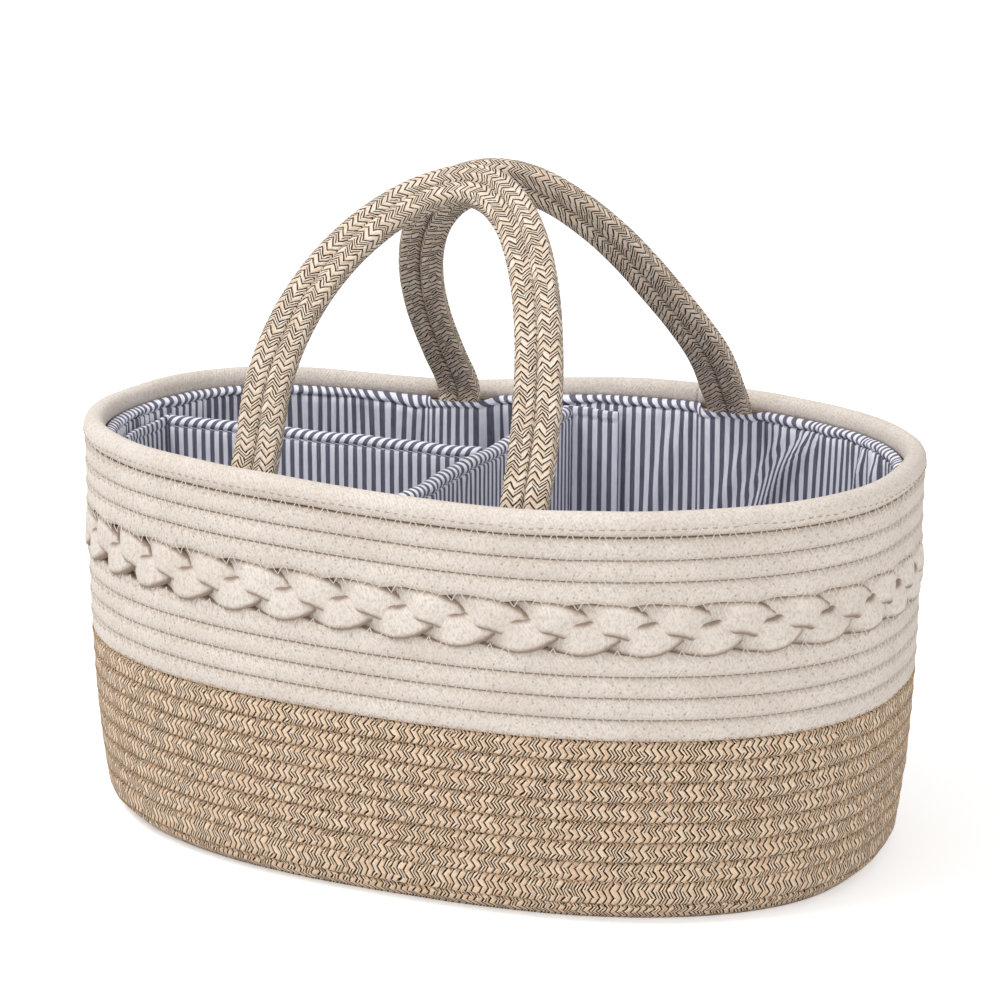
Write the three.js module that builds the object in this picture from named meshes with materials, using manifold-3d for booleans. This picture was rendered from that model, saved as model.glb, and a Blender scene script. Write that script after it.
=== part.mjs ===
// Rope caddy: coiled cotton rope walls with a plaited band, a cloth lining, two rope
// handles and a removable T-shaped divider. Millimetres, +Z up, standing on z = 0.
import * as THREE from 'three';
import Module from 'manifold-3d';
import { mergeVertices } from 'three/addons/utils/BufferGeometryUtils.js';

// Plan outline, measured over the rim rope
const rimHalfLength = 190;
const rimHalfWidth = 125;
const outlinePower = 2.35;
const stepsPerLoop = 24;
const outlineSamples = 2000;

// Ropes and cords
const brownRope = 8.2;
const brownPitch = 8.9;
const whiteRope = 8.8;
const whitePitch = 9.3;
const rimRope = 10.6;
const handleCord = 10.2;
const roundSides = 8;
const floorFlatShare = 0.1;
const seatGap = 0.35;

// Wall
const brownRows = 9;
const lowerWhiteRows = 4;
const upperWhiteRows = 3;
const baseLoops = 11;
const bottomRadius = 12;
const rimOverhang = 3;
const sideTaper = 2.5;
const endTaper = 6;
const taperPowerShare = 4;
const climbStartStep = 5;
const climbSteps = 2;
const ropeEndGap = 0.6;

// Plaited band
const plaitHeight = 22;
const plaitRepeats = 13;
const plaitStepsPerRepeat = 12;
const strandWidth = 8;
const strandThickness = 4;
const strandCrossing = 3.5;
const strandSides = 6;
const plaitProud = 2;

// Lining
const liningThickness = 1.5;
const liningGap = 0.5;
const hemThickness = 2.6;
const hemHeight = 9;
const liningBelowRim = 10;
const cornerSteps = 3;

// Handles
const footHalfSpacing = 64;
const handleRise = 142;
const archPower = 1.8;
const archSteps = 26;
const footStraight = 11;
const cordEndSteps = 3;
const cordTipShare = 0.15;
const hingeAboveRim = 10;
const tailDepth = 50;

// Each handle's lean from upright at its feet and top, and how far it folds out from there
const degreeAngle = Math.PI / 180;
const frontAngles = { foot: 18 * degreeAngle, top: 53 * degreeAngle, swing: 112 * degreeAngle };
const rearAngles = { foot: 40.1 * degreeAngle, top: 32.1 * degreeAngle, swing: 130 * degreeAngle };

// Divider
const dividerBelowRim = 15;
const crossPanelX = -9.5;
const longPanelY = 12;
const panelThickness = 6;
const coverThickness = 1.3;
const tabThickness = 2.5;
const tabReach = 26;
const endTabReach = 46;
const tabLowShare = 0.2;
const tapeThickness = 1.1;
const tapeWidth = 20;
const tapeLowShare = 0.35;
const tapeHighShare = 0.85;
const cutOverrun = 5;

const wasm = await Module();
wasm.setup();

// Plan geometry

const outlinePoint = (t) => {
  const power = 2 / outlinePower;
  const c = Math.cos(t);
  const s = Math.sin(t);
  return new THREE.Vector2(
    rimHalfLength * Math.sign(c) * Math.abs(c) ** power,
    rimHalfWidth * Math.sign(s) * Math.abs(s) ** power,
  );
};

// The straight line at the middle of the base that every ray runs to
const coreHalfLength = rimHalfLength - rimHalfWidth;

const quarterAngles = () => {
  const lengths = [0];
  for (let i = 1; i <= outlineSamples; i += 1) {
    const a = outlinePoint(((i - 1) / outlineSamples) * (Math.PI / 2));
    const b = outlinePoint((i / outlineSamples) * (Math.PI / 2));
    lengths.push(lengths[i - 1] + a.distanceTo(b));
  }
  const perQuarter = stepsPerLoop / 4;
  const angles = [];
  for (let k = 0; k < perQuarter; k += 1) {
    const target = (k / perQuarter) * lengths[outlineSamples];
    const i = lengths.findIndex((length) => length >= target);
    angles.push((i / outlineSamples) * (Math.PI / 2));
  }
  return angles;
};

// One ray for each step round the outline, mirrored so that the plan is symmetric
const rays = [];
const firstQuarter = quarterAngles();
for (let j = 0; j < stepsPerLoop; j += 1) {
  const quarter = Math.floor((j * 4) / stepsPerLoop);
  const k = j - (quarter * stepsPerLoop) / 4;
  const mirrored = k === 0 ? 0 : Math.PI / 2 - firstQuarter[stepsPerLoop / 4 - k];
  const t = (quarter * Math.PI) / 2 + (quarter % 2 === 0 ? firstQuarter[k] : mirrored);
  const rim = outlinePoint(t);
  const core = new THREE.Vector2(THREE.MathUtils.clamp(rim.x, -coreHalfLength, coreHalfLength), 0);
  const reach = rim.distanceTo(core);
  const out = rim.clone().sub(core).divideScalar(reach);
  const endShare = out.x * out.x;
  rays.push({ rim, core, reach, out, taper: sideTaper + (endTaper - sideTaper) * endShare });
}
const ray = (j) => rays[((j % stepsPerLoop) + stepsPerLoop) % stepsPerLoop];

// Heights that follow from the rows
const baseCentre = brownRope / 2 - brownRope * floorFlatShare;
const cornerTop = baseCentre + bottomRadius;
const cornerLength = (bottomRadius * Math.PI) / 2;
const brownTopCentre = cornerTop + brownRows * brownPitch - cornerLength;
const brownTop = brownTopCentre + brownPitch / 2;
const lowerWhiteTop = brownTop + lowerWhiteRows * whitePitch;
const plaitCentre = lowerWhiteTop + plaitHeight / 2;
const upperWhiteBottom = lowerWhiteTop + plaitHeight;
const upperWhiteTop = upperWhiteBottom + upperWhiteRows * whitePitch;
const rimCentre = upperWhiteTop + seatGap + rimRope / 2;
const rimTop = rimCentre + rimRope / 2;

// How far inside the rim outline the wall's outer face stands at a height
const wallInset = (j, z) => {
  const drop = THREE.MathUtils.clamp((upperWhiteTop - z) / (upperWhiteTop - cornerTop), 0, 1);
  return rimOverhang + ray(j).taper * drop ** taperPowerShare;
};

// A point on ray j (whole or part steps), inset from the rim outline
const planPoint = (j, inset) => {
  const low = Math.floor(j);
  const at = (k) => ray(k).rim.clone().addScaledVector(ray(k).out, -inset(k));
  return low === j ? at(low) : at(low).lerp(at(low + 1), j - low);
};

// Solids

// A geometry from points and triangles, with its faces turned outward
const solidFrom = (points, index) => {
  let volume = 0;
  for (let i = 0; i < index.length; i += 3) {
    const [a, b, c] = [points[index[i]], points[index[i + 1]], points[index[i + 2]]];
    volume += a.dot(new THREE.Vector3().crossVectors(b, c));
  }
  if (volume < 0) index.reverse();
  const geometry = new THREE.BufferGeometry();
  const positions = points.flatMap((p) => [p.x, p.y, p.z]);
  geometry.setAttribute('position', new THREE.Float32BufferAttribute(positions, 3));
  geometry.setIndex(index);
  geometry.computeVertexNormals();
  return geometry;
};

// Joins rings of points into one closed body, with flat ends or closing on itself
const joinRings = (rings, closes = false) => {
  const sides = rings[0].length;
  const index = [];
  const bands = closes ? rings.length : rings.length - 1;
  for (let i = 0; i < bands; i += 1) {
    const next = (i + 1) % rings.length;
    for (let k = 0; k < sides; k += 1) {
      const a = i * sides + k;
      const b = i * sides + ((k + 1) % sides);
      const c = next * sides + k;
      const d = next * sides + ((k + 1) % sides);
      index.push(a, b, d, a, d, c);
    }
  }
  const last = (rings.length - 1) * sides;
  for (let k = 1; !closes && k + 1 < sides; k += 1) {
    index.push(0, k + 1, k);
    index.push(last, last + k, last + k + 1);
  }
  return solidFrom(rings.flat(), index);
};

// A section of a rope: a across the wall (outward), b along the wall (upward)
const hexagon = (halfOut, halfUp) => [
  [halfOut, 0], [halfOut / 2, halfUp], [-halfOut / 2, halfUp],
  [-halfOut, 0], [-halfOut / 2, -halfUp], [halfOut / 2, -halfUp],
];

const flatShare = Math.cos(Math.PI / 6);

// Where a rope's centre lies on ray j, a length s up from the edge of the base
const profileAt = (j, s, rope) => {
  const half = rope / 2;
  const wallFoot = wallInset(j, cornerTop) + half;
  if (s < cornerLength) {
    const turn = s / bottomRadius;
    return {
      inset: wallFoot + bottomRadius - bottomRadius * Math.sin(turn),
      z: cornerTop - bottomRadius * Math.cos(turn),
      turn,
    };
  }
  const z = cornerTop + s - cornerLength;
  return { inset: wallInset(j, z) + half, z, turn: Math.PI / 2 };
};

const ringAt = (j, inset, z, turn, section) => {
  const { rim, out } = ray(j);
  const centre = rim.clone().addScaledVector(out, -inset);
  const outward = new THREE.Vector3(out.x, out.y, 0);
  const across = outward.clone().multiplyScalar(Math.sin(turn));
  across.z = -Math.cos(turn);
  const along = outward.clone().multiplyScalar(Math.cos(turn));
  along.z = Math.sin(turn);
  return section.map(([a, b]) => new THREE.Vector3(centre.x, centre.y, z)
    .addScaledVector(across, a)
    .addScaledVector(along, b));
};

// Level rows that climb to the next one in a short stretch at the back
const rowPath = (firstRow, rows, climbsOut) => {
  const start = climbStartStep + climbSteps;
  const level = stepsPerLoop - climbSteps;
  const steps = (rows - 1) * stepsPerLoop + level + (climbsOut ? climbSteps : 0);
  const path = [];
  for (let i = 0; i <= steps; i += 1) {
    const turns = Math.floor(i / stepsPerLoop);
    const inTurn = i - turns * stepsPerLoop;
    const climb = inTurn <= level ? 0 : (inTurn - level) / climbSteps;
    path.push({ j: start + i, row: firstRow + turns + climb });
  }
  return path;
};

// Measures the least gap between stretches of one rope that aren't neighbours along it
const reportLeastGap = (name, centres, size) => {
  const apart = Math.round(stepsPerLoop / 2);
  const fine = [];
  for (let i = 0; i + 1 < centres.length; i += 1) {
    fine.push([i, centres[i]], [i, centres[i].clone().lerp(centres[i + 1], 1 / 2)]);
  }
  let least = Infinity;
  for (let a = 0; a < fine.length; a += 1) {
    for (let b = a + 1; b < fine.length; b += 1) {
      if (fine[b][0] - fine[a][0] > apart) {
        least = Math.min(least, fine[a][1].distanceTo(fine[b][1]));
      }
    }
  }
  console.log(`${name}: least gap to itself ${(least - size).toFixed(2)} mm`);
};

// Moves a rope's end face back along the rope, to leave a gap to what it meets
const trimEnd = (rings) => {
  const end = rings.length - 1;
  rings[end] = rings[end].map((p, k) => {
    const back = rings[end - 1][k].clone().sub(p).normalize();
    return p.clone().addScaledVector(back, ropeEndGap);
  });
};

const centreOf = (ring) => ring
  .reduce((sum, p) => sum.add(p), new THREE.Vector3())
  .divideScalar(ring.length);

// Flat oval spiral of the base, whose last turn climbs into the wall
const baseCoil = () => {
  const half = brownRope / 2;
  const flat = half * flatShare;
  const floorSide = half - brownRope * floorFlatShare;
  const section = hexagon(half, flat).map(([a, b]) => [a, Math.max(b, -floorSide)]);
  const innermost = half + seatGap;
  const path = rowPath(0, baseLoops, true);
  const rings = path.map(({ j, row }) => {
    const edge = profileAt(j, 0, brownRope).inset;
    if (row <= baseLoops - 1) {
      const outer = ray(j).reach - edge;
      const radius = innermost + ((outer - innermost) * row) / (baseLoops - 1);
      return ringAt(j, ray(j).reach - radius, baseCentre, Math.PI / 2, section);
    }
    const s = (row - baseLoops + 1) * brownPitch;
    const { inset, z } = profileAt(j, s, brownRope);
    return ringAt(j, inset, z, Math.PI / 2, section);
  });
  trimEnd(rings);
  reportLeastGap('base_coil', rings.map(centreOf), brownRope);
  return joinRings(rings);
};

// Rows of the brown wall, the last of which climbs to where the white rope begins
const brownWallCoil = () => {
  const half = brownRope / 2;
  const rings = rowPath(1, brownRows, true).map(({ j, row }) => {
    const climbOut = Math.max(row - brownRows, 0);
    const s = (row - climbOut) * brownPitch + climbOut * (brownPitch + whitePitch) / 2;
    const { inset, z, turn } = profileAt(j, s, brownRope);
    const onWall = THREE.MathUtils.clamp((s - cornerLength) / brownPitch, 0, 1);
    const flat = THREE.MathUtils.lerp(half * flatShare, half, onWall);
    return ringAt(j, inset, z, turn, hexagon(half, flat));
  });
  trimEnd(rings);
  reportLeastGap('brown_wall_coil', rings.map(centreOf), brownRope);
  return joinRings(rings);
};

// Rows of white rope on the wall, from a height upward
const whiteCoil = (name, bottom, rows) => {
  const half = whiteRope / 2;
  const rings = rowPath(0, rows, false).map(({ j, row }) => {
    const z = bottom + (row + 1 / 2) * whitePitch;
    return ringAt(j, wallInset(j, z) + half, z, Math.PI / 2, hexagon(half, half));
  });
  reportLeastGap(name, rings.map(centreOf), whiteRope);
  return joinRings(rings);
};

// The rope along the rim, butted on itself at the back
const rimRopeSolid = () => {
  const half = rimRope / 2;
  const section = [];
  for (let k = 0; k < roundSides; k += 1) {
    const turn = (2 * Math.PI * k) / roundSides;
    section.push([half * Math.cos(turn), half * Math.sin(turn)]);
  }
  const rings = [];
  for (let i = 0; i <= stepsPerLoop; i += 1) {
    rings.push(ringAt(climbStartStep + i, half, rimCentre, Math.PI / 2, section));
  }
  trimEnd(rings);
  return joinRings(rings);
};

// One strand of the three-strand plait, laid along the wall between the white rows. It
// lies over the others on its way from either edge to the middle.
const plaitStrand = (strand) => {
  const steps = plaitRepeats * plaitStepsPerRepeat;
  const swing = (plaitHeight - strandWidth) / 2 - seatGap;
  const depth = strandCrossing + strandThickness / 2;
  const centreAt = (i) => {
    const along = (i / steps) * stepsPerLoop;
    const phase = 2 * Math.PI * ((i / steps) * plaitRepeats + strand / 3);
    const z = plaitCentre + swing * Math.sin(phase);
    const inset = (k) => wallInset(k, plaitCentre) - plaitProud + depth;
    const flat = planPoint(along, inset);
    const before = planPoint(along - 1 / 2, inset);
    const after = planPoint(along + 1 / 2, inset);
    const tangent = after.sub(before).normalize();
    const outward = new THREE.Vector2(tangent.y, -tangent.x);
    flat.addScaledVector(outward, -strandCrossing * Math.sin(2 * phase));
    const at = new THREE.Vector3(flat.x, flat.y, z);
    return { at, outward: new THREE.Vector3(outward.x, outward.y, 0) };
  };
  const rings = [];
  for (let i = 0; i < steps; i += 1) {
    const here = centreAt(i);
    const heading = centreAt(i + 1).at.sub(centreAt(i - 1).at).normalize();
    const wide = new THREE.Vector3().crossVectors(heading, here.outward).normalize();
    const thick = new THREE.Vector3().crossVectors(wide, heading).normalize();
    const ring = [];
    for (let k = 0; k < strandSides; k += 1) {
      const turn = (2 * Math.PI * k) / strandSides;
      ring.push(here.at.clone()
        .addScaledVector(thick, (strandThickness / 2) * Math.sin(turn) / flatShare)
        .addScaledVector(wide, (-strandWidth / 2) * Math.cos(turn)));
    }
    rings.push(ring);
  }
  return joinRings(rings, true);
};

// Handle feet

const cordSpacing = handleCord + seatGap;
const footOuterEdge = footHalfSpacing + cordSpacing / 2 + handleCord / 2;
const footInnerEdge = footHalfSpacing - cordSpacing / 2 - handleCord / 2;
const hingeHeight = rimTop + hingeAboveRim;
const liningTop = rimTop - liningBelowRim;
const tailBottom = liningTop - tailDepth;

// The station, in ray steps, where the plan at an inset crosses a value of x or y
const stationAt = (axis, value, from, to, inset) => {
  for (let j = from; j < to; j += 1) {
    const a = planPoint(j, inset)[axis] - value;
    const b = planPoint(j + 1, inset)[axis] - value;
    if (a === 0) return j;
    if (a * b < 0) return j + a / (a - b);
  }
  return to;
};
const quarterSteps = stepsPerLoop / 4;
const halfSteps = stepsPerLoop / 2;

// The inner face of the plait and of the wall behind the handle feet
const plaitInnerFace = (k) => wallInset(k, plaitCentre) - plaitProud
  + 2 * strandCrossing + strandThickness;
const behindFeet = (k) => Math.max(wallInset(k, tailBottom) + whiteRope, plaitInnerFace(k));
const footStation = stationAt('x', footOuterEdge, 0, quarterSteps, behindFeet);
const footY = planPoint(footStation, behindFeet).y - seatGap - handleCord / 2;

// Lining

// How far the lining's outer face stands inside the rim outline
const liningInset = (k, z) => Math.max(wallInset(k, z) + whiteRope, plaitInnerFace(k)) + liningGap;
const liningCorner = bottomRadius - brownRope / 2 - liningGap;
const liningFloor = cornerTop - liningCorner + liningThickness;

// Stations round the plan: every ray, and the edges of the pockets for the handle feet
const pocketInner = footInnerEdge - seatGap;
const pocketOuter = footOuterEdge + seatGap;
const pocketRamp = handleCord;
const liningStations = [pocketInner - pocketRamp, pocketInner, pocketOuter, pocketOuter + pocketRamp]
  .map((x) => stationAt('x', x, 0, quarterSteps, (k) => liningInset(k, liningTop)))
  .flatMap((at) => [at, halfSteps - at, halfSteps + at, stepsPerLoop - at])
  .concat(rays.map((_, j) => j))
  .sort((a, b) => a - b);

// A ring of the lining at a height; pocketed rings move in to leave room for the feet
const liningRing = ({ z, inset, pocketDepth }) => liningStations.map((station) => {
  const flat = planPoint(station, inset);
  const x = Math.abs(flat.x);
  const away = Math.max(pocketInner - x, x - pocketOuter, 0);
  const share = pocketDepth === undefined ? 0 : THREE.MathUtils.clamp(1 - away / pocketRamp, 0, 1);
  const pocketFace = footY - handleCord / 2 - seatGap - (pocketDepth ?? 0);
  const y = Math.abs(flat.y);
  const moved = THREE.MathUtils.lerp(y, Math.min(y, pocketFace), share);
  return new THREE.Vector3(flat.x, Math.sign(flat.y) * moved, z);
});

// An open cloth tub: up the outside, over the top edge, and down the inside
const liningSolid = () => {
  const corner = (depth) => {
    const levels = [];
    for (let i = 0; i <= cornerSteps; i += 1) {
      const turn = (i / cornerSteps) * (Math.PI / 2);
      const radius = liningCorner - depth;
      const inset = (k) => liningInset(k, cornerTop) + liningCorner - radius * Math.sin(turn);
      levels.push({ z: cornerTop - radius * Math.cos(turn), inset });
    }
    return levels;
  };
  const wall = (z, depth, pocketed) => ({
    z,
    inset: (k) => liningInset(k, z) + depth,
    pocketDepth: pocketed ? depth : undefined,
  });
  const pocketStart = tailBottom - handleCord;
  const halfBrown = (cornerTop + brownTop) / 2;
  const outer = [
    ...corner(0),
    wall(halfBrown, 0, false),
    wall(brownTop, 0, false),
    wall(pocketStart, 0, false),
    wall(tailBottom, 0, true),
    wall(liningTop, 0, true),
  ];
  const inner = [
    ...corner(liningThickness),
    wall(halfBrown, liningThickness, false),
    wall(brownTop, liningThickness, false),
    wall(pocketStart, liningThickness, false),
    wall(tailBottom, liningThickness, true),
    wall(liningTop - hemHeight - hemThickness, liningThickness, true),
    wall(liningTop - hemHeight, hemThickness, true),
    wall(liningTop, hemThickness, true),
  ];
  const rings = [...outer, ...inner.reverse()].map(liningRing);
  const count = liningStations.length;
  const index = [];
  for (let i = 0; i + 1 < rings.length; i += 1) {
    for (let k = 0; k < count; k += 1) {
      const a = i * count + k;
      const b = i * count + ((k + 1) % count);
      index.push(a, b, b + count, a, b + count, a + count);
    }
  }
  const underside = rings.length * count;
  const topside = underside + 1;
  const lastRing = (rings.length - 1) * count;
  for (let k = 0; k < count; k += 1) {
    const next = (k + 1) % count;
    index.push(underside, next, k);
    index.push(topside, lastRing + k, lastRing + next);
  }
  const middle = (ring) => new THREE.Vector3(0, 0, ring[0].z);
  return solidFrom([...rings.flat(), middle(rings[0]), middle(rings[rings.length - 1])], index);
};

// Handles

// A section of a handle cord, square to its heading
const cordRing = (at, heading, normal, share) => {
  const side = new THREE.Vector3().crossVectors(heading, normal).normalize();
  const up = new THREE.Vector3().crossVectors(side, heading).normalize();
  const ring = [];
  for (let k = 0; k < roundSides; k += 1) {
    const turn = (2 * Math.PI * (k + 1 / 2)) / roundSides;
    ring.push(at.clone()
      .addScaledVector(side, share * (handleCord / 2) * Math.cos(turn))
      .addScaledVector(up, share * (handleCord / 2) * Math.sin(turn)));
  }
  return ring;
};

// Where a handle leaves its feet: it leans from just above the lining's edge, and turns
// on the round ends of its cords a little above the rim
const handleFrame = (lean) => {
  const bendHeight = liningTop + seatGap + (handleCord / 2) * Math.tan(lean.foot / 2);
  const leaning = (hingeHeight - bendHeight) / Math.cos(lean.foot);
  const hingeY = footY - leaning * Math.sin(lean.foot);
  return { bendHeight, leaning, hingeY, archHeight: handleRise - leaning - footStraight };
};

// One cord of a handle: an arch that leans towards the middle of the caddy, with a lean
// that changes from foot to top. Its origin is on the line that it turns about.
const handleCordSolid = (lean, offset) => {
  const { archHeight } = handleFrame(lean);
  const halfWidth = footHalfSpacing + offset;
  const bend = lean.top - lean.foot;
  const power = 2 / archPower;
  const leanWay = new THREE.Vector3(0, Math.sin(lean.foot), Math.cos(lean.foot));
  const footNormal = new THREE.Vector3(0, Math.cos(lean.foot), -Math.sin(lean.foot));
  const angleAt = (s) => lean.foot + bend * (s / archHeight);
  const archPoint = (i) => {
    const turn = Math.PI * (i / archSteps);
    const c = Math.cos(turn);
    const s = (archHeight + offset) * Math.max(Math.sin(turn), 0) ** power;
    const x = halfWidth * Math.sign(c) * Math.abs(c) ** power;
    const y = (archHeight * (Math.cos(lean.foot) - Math.cos(angleAt(s)))) / bend;
    const z = (archHeight * (Math.sin(angleAt(s)) - Math.sin(lean.foot))) / bend;
    const at = new THREE.Vector3(x, y, z).addScaledVector(leanWay, footStraight);
    return { at, angle: angleAt(s) };
  };
  const roundEnd = (x, heading) => {
    const rings = [];
    for (let i = 0; i <= cordEndSteps; i += 1) {
      const share = i === 0 ? cordTipShare : Math.sin((Math.PI / 2) * (i / cordEndSteps));
      const back = (handleCord / 2) * Math.sqrt(1 - share * share);
      const at = new THREE.Vector3(x, 0, 0).addScaledVector(leanWay, -back);
      rings.push(cordRing(at, heading, footNormal, share));
    }
    return rings;
  };
  const arch = [];
  for (let i = 0; i <= archSteps; i += 1) {
    const { at, angle } = archPoint(i);
    const footBelow = at.clone().addScaledVector(leanWay, -footStraight);
    const before = i === 0 ? footBelow : archPoint(i - 1).at;
    const after = i === archSteps ? footBelow : archPoint(i + 1).at;
    const heading = after.clone().sub(before).normalize();
    const normal = new THREE.Vector3(0, Math.cos(angle), -Math.sin(angle));
    arch.push(cordRing(at, heading, normal, 1));
  }
  return joinRings([
    ...roundEnd(halfWidth, leanWay),
    ...arch,
    ...roundEnd(-halfWidth, leanWay.clone().negate()).reverse(),
  ]);
};

// The stretch of a cord that is sewn in between wall and lining, up to the turning end.
// Its top face lies along the handle when that is folded right out. Its origin is the
// same as its handle's.
const tailSolid = (lean) => {
  const { bendHeight, leaning } = handleFrame(lean);
  const folded = lean.foot - lean.swing;
  const intoTail = new THREE.Vector3(0, -Math.cos(folded), Math.sin(folded));
  const straightUp = new THREE.Vector3(0, 0, 1);
  const leanWay = new THREE.Vector3(0, Math.sin(lean.foot), Math.cos(lean.foot));
  const halfway = straightUp.clone().add(leanWay).normalize();
  const bend = leanWay.clone().multiplyScalar(-leaning);
  const bottom = bend.clone().addScaledVector(straightUp, tailBottom - bendHeight);
  const across = (heading) => new THREE.Vector3(0, heading.z, -heading.y);
  const onTopFace = (p) => {
    const short = handleCord / 2 + seatGap - p.dot(intoTail);
    return p.clone().addScaledVector(leanWay, short / leanWay.dot(intoTail));
  };
  return joinRings([
    cordRing(bottom, straightUp, across(straightUp), 1),
    cordRing(bend, halfway, across(halfway), 1),
    cordRing(new THREE.Vector3(), leanWay, across(leanWay), 1).map(onTopFace),
  ]);
};

// Divider

const dividerTop = rimTop - dividerBelowRim;
const dividerBottom = liningFloor + seatGap;
const dividerHeight = dividerTop - dividerBottom;
const tapeOuter = seatGap;
const hookOuter = tapeOuter + tapeThickness + seatGap;
const tabOuter = hookOuter + tapeThickness + seatGap;
const panelEndDepth = tabOuter + tabThickness + seatGap;

// The plan of the lining's inner face at a height, moved in by a depth
const liningFace = (z, depth) => (k) => liningInset(k, z) + liningThickness + depth;

// A strip that lies along the lining's inner face from one station to another
const wallStrip = ({ from, to, outer, thickness, low, high }) => {
  const marks = [from];
  for (let j = Math.floor(from) + 1; j < to; j += 1) marks.push(j);
  marks.push(to);
  const corner = (station, z, depth) => {
    const flat = planPoint(station, liningFace(z, depth));
    return new THREE.Vector3(flat.x, flat.y, z);
  };
  return joinRings(marks.map((station) => [
    corner(station, low, outer),
    corner(station, high, outer),
    corner(station, high, outer + thickness),
    corner(station, low, outer + thickness),
  ]));
};

// A closed geometry as a solid for cuts, and back again
const toManifold = (geometry) => {
  const bare = geometry.clone();
  bare.deleteAttribute('normal');
  bare.deleteAttribute('uv');
  const merged = mergeVertices(bare);
  return new wasm.Manifold(new wasm.Mesh({
    numProp: 3,
    vertProperties: new Float32Array(merged.attributes.position.array),
    triVerts: new Uint32Array(merged.index.array),
  }));
};
const fromManifold = (manifold) => {
  const mesh = manifold.getMesh();
  const geometry = new THREE.BufferGeometry();
  geometry.setAttribute('position', new THREE.Float32BufferAttribute(mesh.vertProperties, 3));
  geometry.setIndex([...mesh.triVerts]);
  geometry.computeVertexNormals();
  return geometry;
};

const plate = (points, thickness) => {
  const shape = new THREE.Shape(points.map(([a, b]) => new THREE.Vector2(a, b)));
  const geometry = new THREE.ExtrudeGeometry(shape, { depth: thickness, bevelEnabled: false });
  return geometry.translate(0, 0, -thickness / 2);
};

// The side outline of a panel, from one end of its plan to the other, with rounded feet
// where the lining's floor curves up into a wall
const panelOutline = (ends, margin, bottom) => {
  const points = [];
  ends.forEach(({ at, walled }, side) => {
    const inward = side === 0 ? 1 : -1;
    const edge = [];
    if (walled) {
      for (let i = 0; i <= cornerSteps; i += 1) {
        const turn = (Math.PI / 2) * (i / cornerSteps);
        const out = liningCorner * (1 - Math.sin(turn));
        const z = dividerBottom + liningCorner * (1 - Math.cos(turn));
        edge.push([at(cornerTop) + inward * (out + margin), Math.max(z, bottom)]);
      }
      edge[0][1] = bottom;
    } else {
      edge.push([at(cornerTop) + inward * margin, bottom]);
    }
    edge.push([at(dividerTop) + inward * margin, dividerTop - margin]);
    points.push(...(side === 0 ? edge.reverse() : edge));
  });
  return points;
};

// A cloth cover, open below, and the stiff board inside it
const panelPieces = (ends) => {
  const pocketThickness = panelThickness - 2 * coverThickness;
  const cover = toManifold(plate(panelOutline(ends, 0, dividerBottom), panelThickness));
  const pocketOutline = panelOutline(ends, coverThickness, dividerBottom - cutOverrun);
  const pocket = toManifold(plate(pocketOutline, pocketThickness));
  const boardOutline = panelOutline(ends, coverThickness + seatGap, dividerBottom);
  return {
    cover: fromManifold(cover.subtract(pocket)),
    board: plate(boardOutline, pocketThickness - 2 * seatGap),
  };
};

const crossEnd = (side) => ({
  walled: true,
  at: (z) => {
    const inset = liningFace(z, panelEndDepth);
    const station = stationAt('x', -Math.abs(crossPanelX), quarterSteps, halfSteps, inset);
    return side * planPoint(station, inset).y;
  },
});
const longEnd = {
  walled: true,
  at: (z) => {
    const inset = liningFace(z, panelEndDepth);
    const station = stationAt('y', longPanelY, quarterSteps, halfSteps, inset);
    return planPoint(station, inset).x;
  },
};
const longMeet = { walled: false, at: () => crossPanelX - panelThickness / 2 - seatGap };

const crossPanel = panelPieces([crossEnd(-1), crossEnd(1)]);
const longPanel = panelPieces([longEnd, longMeet]);

// Each end tab, with the strip of hook tape behind it and of loop tape on the lining
const tabTop = liningFace(dividerTop, tabOuter);
const tabs = [
  {
    name: 'back',
    from: stationAt('x', crossPanelX + tabReach, 0, quarterSteps, tabTop),
    to: stationAt('x', crossPanelX - panelThickness / 2, quarterSteps, halfSteps, tabTop),
  },
  {
    name: 'front',
    from: stationAt('x', crossPanelX - panelThickness / 2, halfSteps, 3 * quarterSteps, tabTop),
    to: stationAt('x', crossPanelX + tabReach, 3 * quarterSteps, stepsPerLoop, tabTop),
  },
  {
    name: 'left',
    from: stationAt('y', longPanelY + panelThickness / 2, quarterSteps, halfSteps, tabTop),
    to: stationAt('y', longPanelY - endTabReach, halfSteps, 3 * quarterSteps, tabTop),
  },
];
const atHeight = (share) => dividerBottom + share * dividerHeight;
const tabPieces = ({ name, from, to }) => {
  const middle = (from + to) / 2;
  const halfTape = Math.min(
    tapeWidth / 2 / planPoint(from, tabTop).distanceTo(planPoint(to, tabTop)),
    1 / 2,
  ) * (to - from);
  const strip = { from: middle - halfTape, to: middle + halfTape, thickness: tapeThickness };
  const tapeHeights = { low: atHeight(tapeLowShare), high: atHeight(tapeHighShare) };
  const tabHeights = { low: atHeight(tabLowShare), high: dividerTop };
  return {
    name,
    tab: wallStrip({ from, to, outer: tabOuter, thickness: tabThickness, ...tabHeights }),
    hook: wallStrip({ ...strip, outer: hookOuter, ...tapeHeights }),
    loop: wallStrip({ ...strip, outer: tapeOuter, ...tapeHeights }),
  };
};

// Materials

const cloth = (color, roughness) => new THREE.MeshStandardMaterial({ color, roughness, metalness: 0 });
const brownCotton = cloth(0xb5946d, 0.95);
const whiteCotton = cloth(0xdcd3c4, 0.95);
const ticking = cloth(0x9a9cb4, 0.9);
const board = cloth(0xc9c2b4, 0.9);
const tape = cloth(0xe8e6ea, 0.85);

const piece = (name, geometry, material) => {
  const mesh = new THREE.Mesh(geometry, material);
  mesh.name = name;
  return mesh;
};

// Assembly

const caddy = new THREE.Group();

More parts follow.
